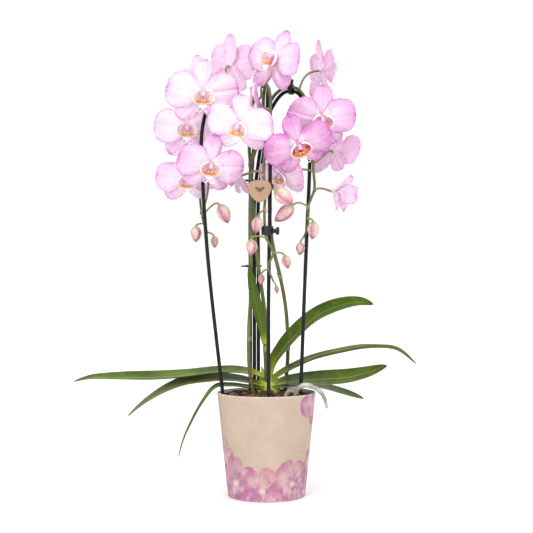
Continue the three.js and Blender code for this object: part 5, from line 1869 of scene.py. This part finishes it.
class ORCHID_OT_stage(bpy.types.Operator):
    """Add the pale floor, the soft studio lights, the even sky and the camera"""

    bl_idname = "orchid.add_stage"
    bl_label = "Stage"

    def execute(self, context):
        scene, settings = context.scene, context.scene.orchid_stage
        mesh = bpy.data.meshes.new("floor")
        rim = circle(64) * FLOOR_RADIUS
        mesh.from_pydata([(x, y, -FLOOR_DROP) for x, y in rim], [], [list(range(len(rim)))])
        mesh.materials.append(paint_floor(settings))
        floor = bpy.data.objects.new("floor", mesh)
        scene.collection.objects.link(floor)
        world = bpy.data.worlds.new("studio")
        world.use_nodes = True
        background = world.node_tree.nodes["Background"]
        background.inputs["Color"].default_value = (1.0, 1.0, 1.0, 1.0)
        background.inputs["Strength"].default_value = settings.sky
        scene.world = world
        add_light("key light", (-0.9, -1.8, 1.5), 35, settings.key)
        add_light("fill light", (1.1, -1.8, 0.8), 60, settings.fill)
        add_light("back light", (0.6, 1.9, 1.3), 60, settings.back)
        data = bpy.data.cameras.new("camera")
        data.sensor_width, data.lens = 36.0, settings.lens
        data.clip_start, data.clip_end = 0.05, 100.0
        camera = bpy.data.objects.new("camera", data)
        camera.location = (0.0, -settings.distance, settings.camera_height)
        camera.rotation_euler = (math.pi / 2, 0.0, 0.0)
        scene.collection.objects.link(camera)
        scene.camera = camera
        scene.view_settings.view_transform = "Standard"
        return {"FINISHED"}


# ------------------------------------------------------------------ panel and run
class ORCHID_PT_panel(bpy.types.Panel):
    """The orchid's pieces and their settings"""

    bl_label = "Potted Orchid"
    bl_idname = "ORCHID_PT_panel"
    bl_space_type = "VIEW_3D"
    bl_region_type = "UI"
    bl_category = "Orchid"

    def draw(self, context):
        for attribute, _, operators in GROUPS:
            box = self.layout.box()
            settings = getattr(context.scene, attribute)
            for name in settings.__annotations__:
                box.prop(settings, name)
            for operator in operators:
                box.operator(operator.bl_idname)


GROUPS = (
    ("orchid_stage", OrchidStageSettings, (ORCHID_OT_stage,)),
    ("orchid_pot", OrchidPotSettings, (ORCHID_OT_pot, ORCHID_OT_grow_pot, ORCHID_OT_tag)),
    ("orchid_plant", OrchidPlantSettings,
     (ORCHID_OT_bark, ORCHID_OT_crown, ORCHID_OT_leaves, ORCHID_OT_roots, ORCHID_OT_spikes)),
    ("orchid_flowers", OrchidFlowerSettings, (ORCHID_OT_blooms, ORCHID_OT_lips)),
    ("orchid_support", OrchidSupportSettings, (ORCHID_OT_hoops, ORCHID_OT_bands)),
)


def register():
    for attribute, settings, operators in GROUPS:
        bpy.utils.register_class(settings)
        setattr(bpy.types.Scene, attribute, PointerProperty(type=settings))
        for operator in operators:
            bpy.utils.register_class(operator)
    bpy.utils.register_class(ORCHID_PT_panel)


def unregister():
    bpy.utils.unregister_class(ORCHID_PT_panel)
    for attribute, settings, operators in reversed(GROUPS):
        for operator in reversed(operators):
            bpy.utils.unregister_class(operator)
        delattr(bpy.types.Scene, attribute)
        bpy.utils.unregister_class(settings)


def main():
    register()
    for _, _, operators in GROUPS:
        for operator in operators:
            group, name = operator.bl_idname.split(".")
            getattr(getattr(bpy.ops, group), name)()


if __name__ == "__main__":
    main()
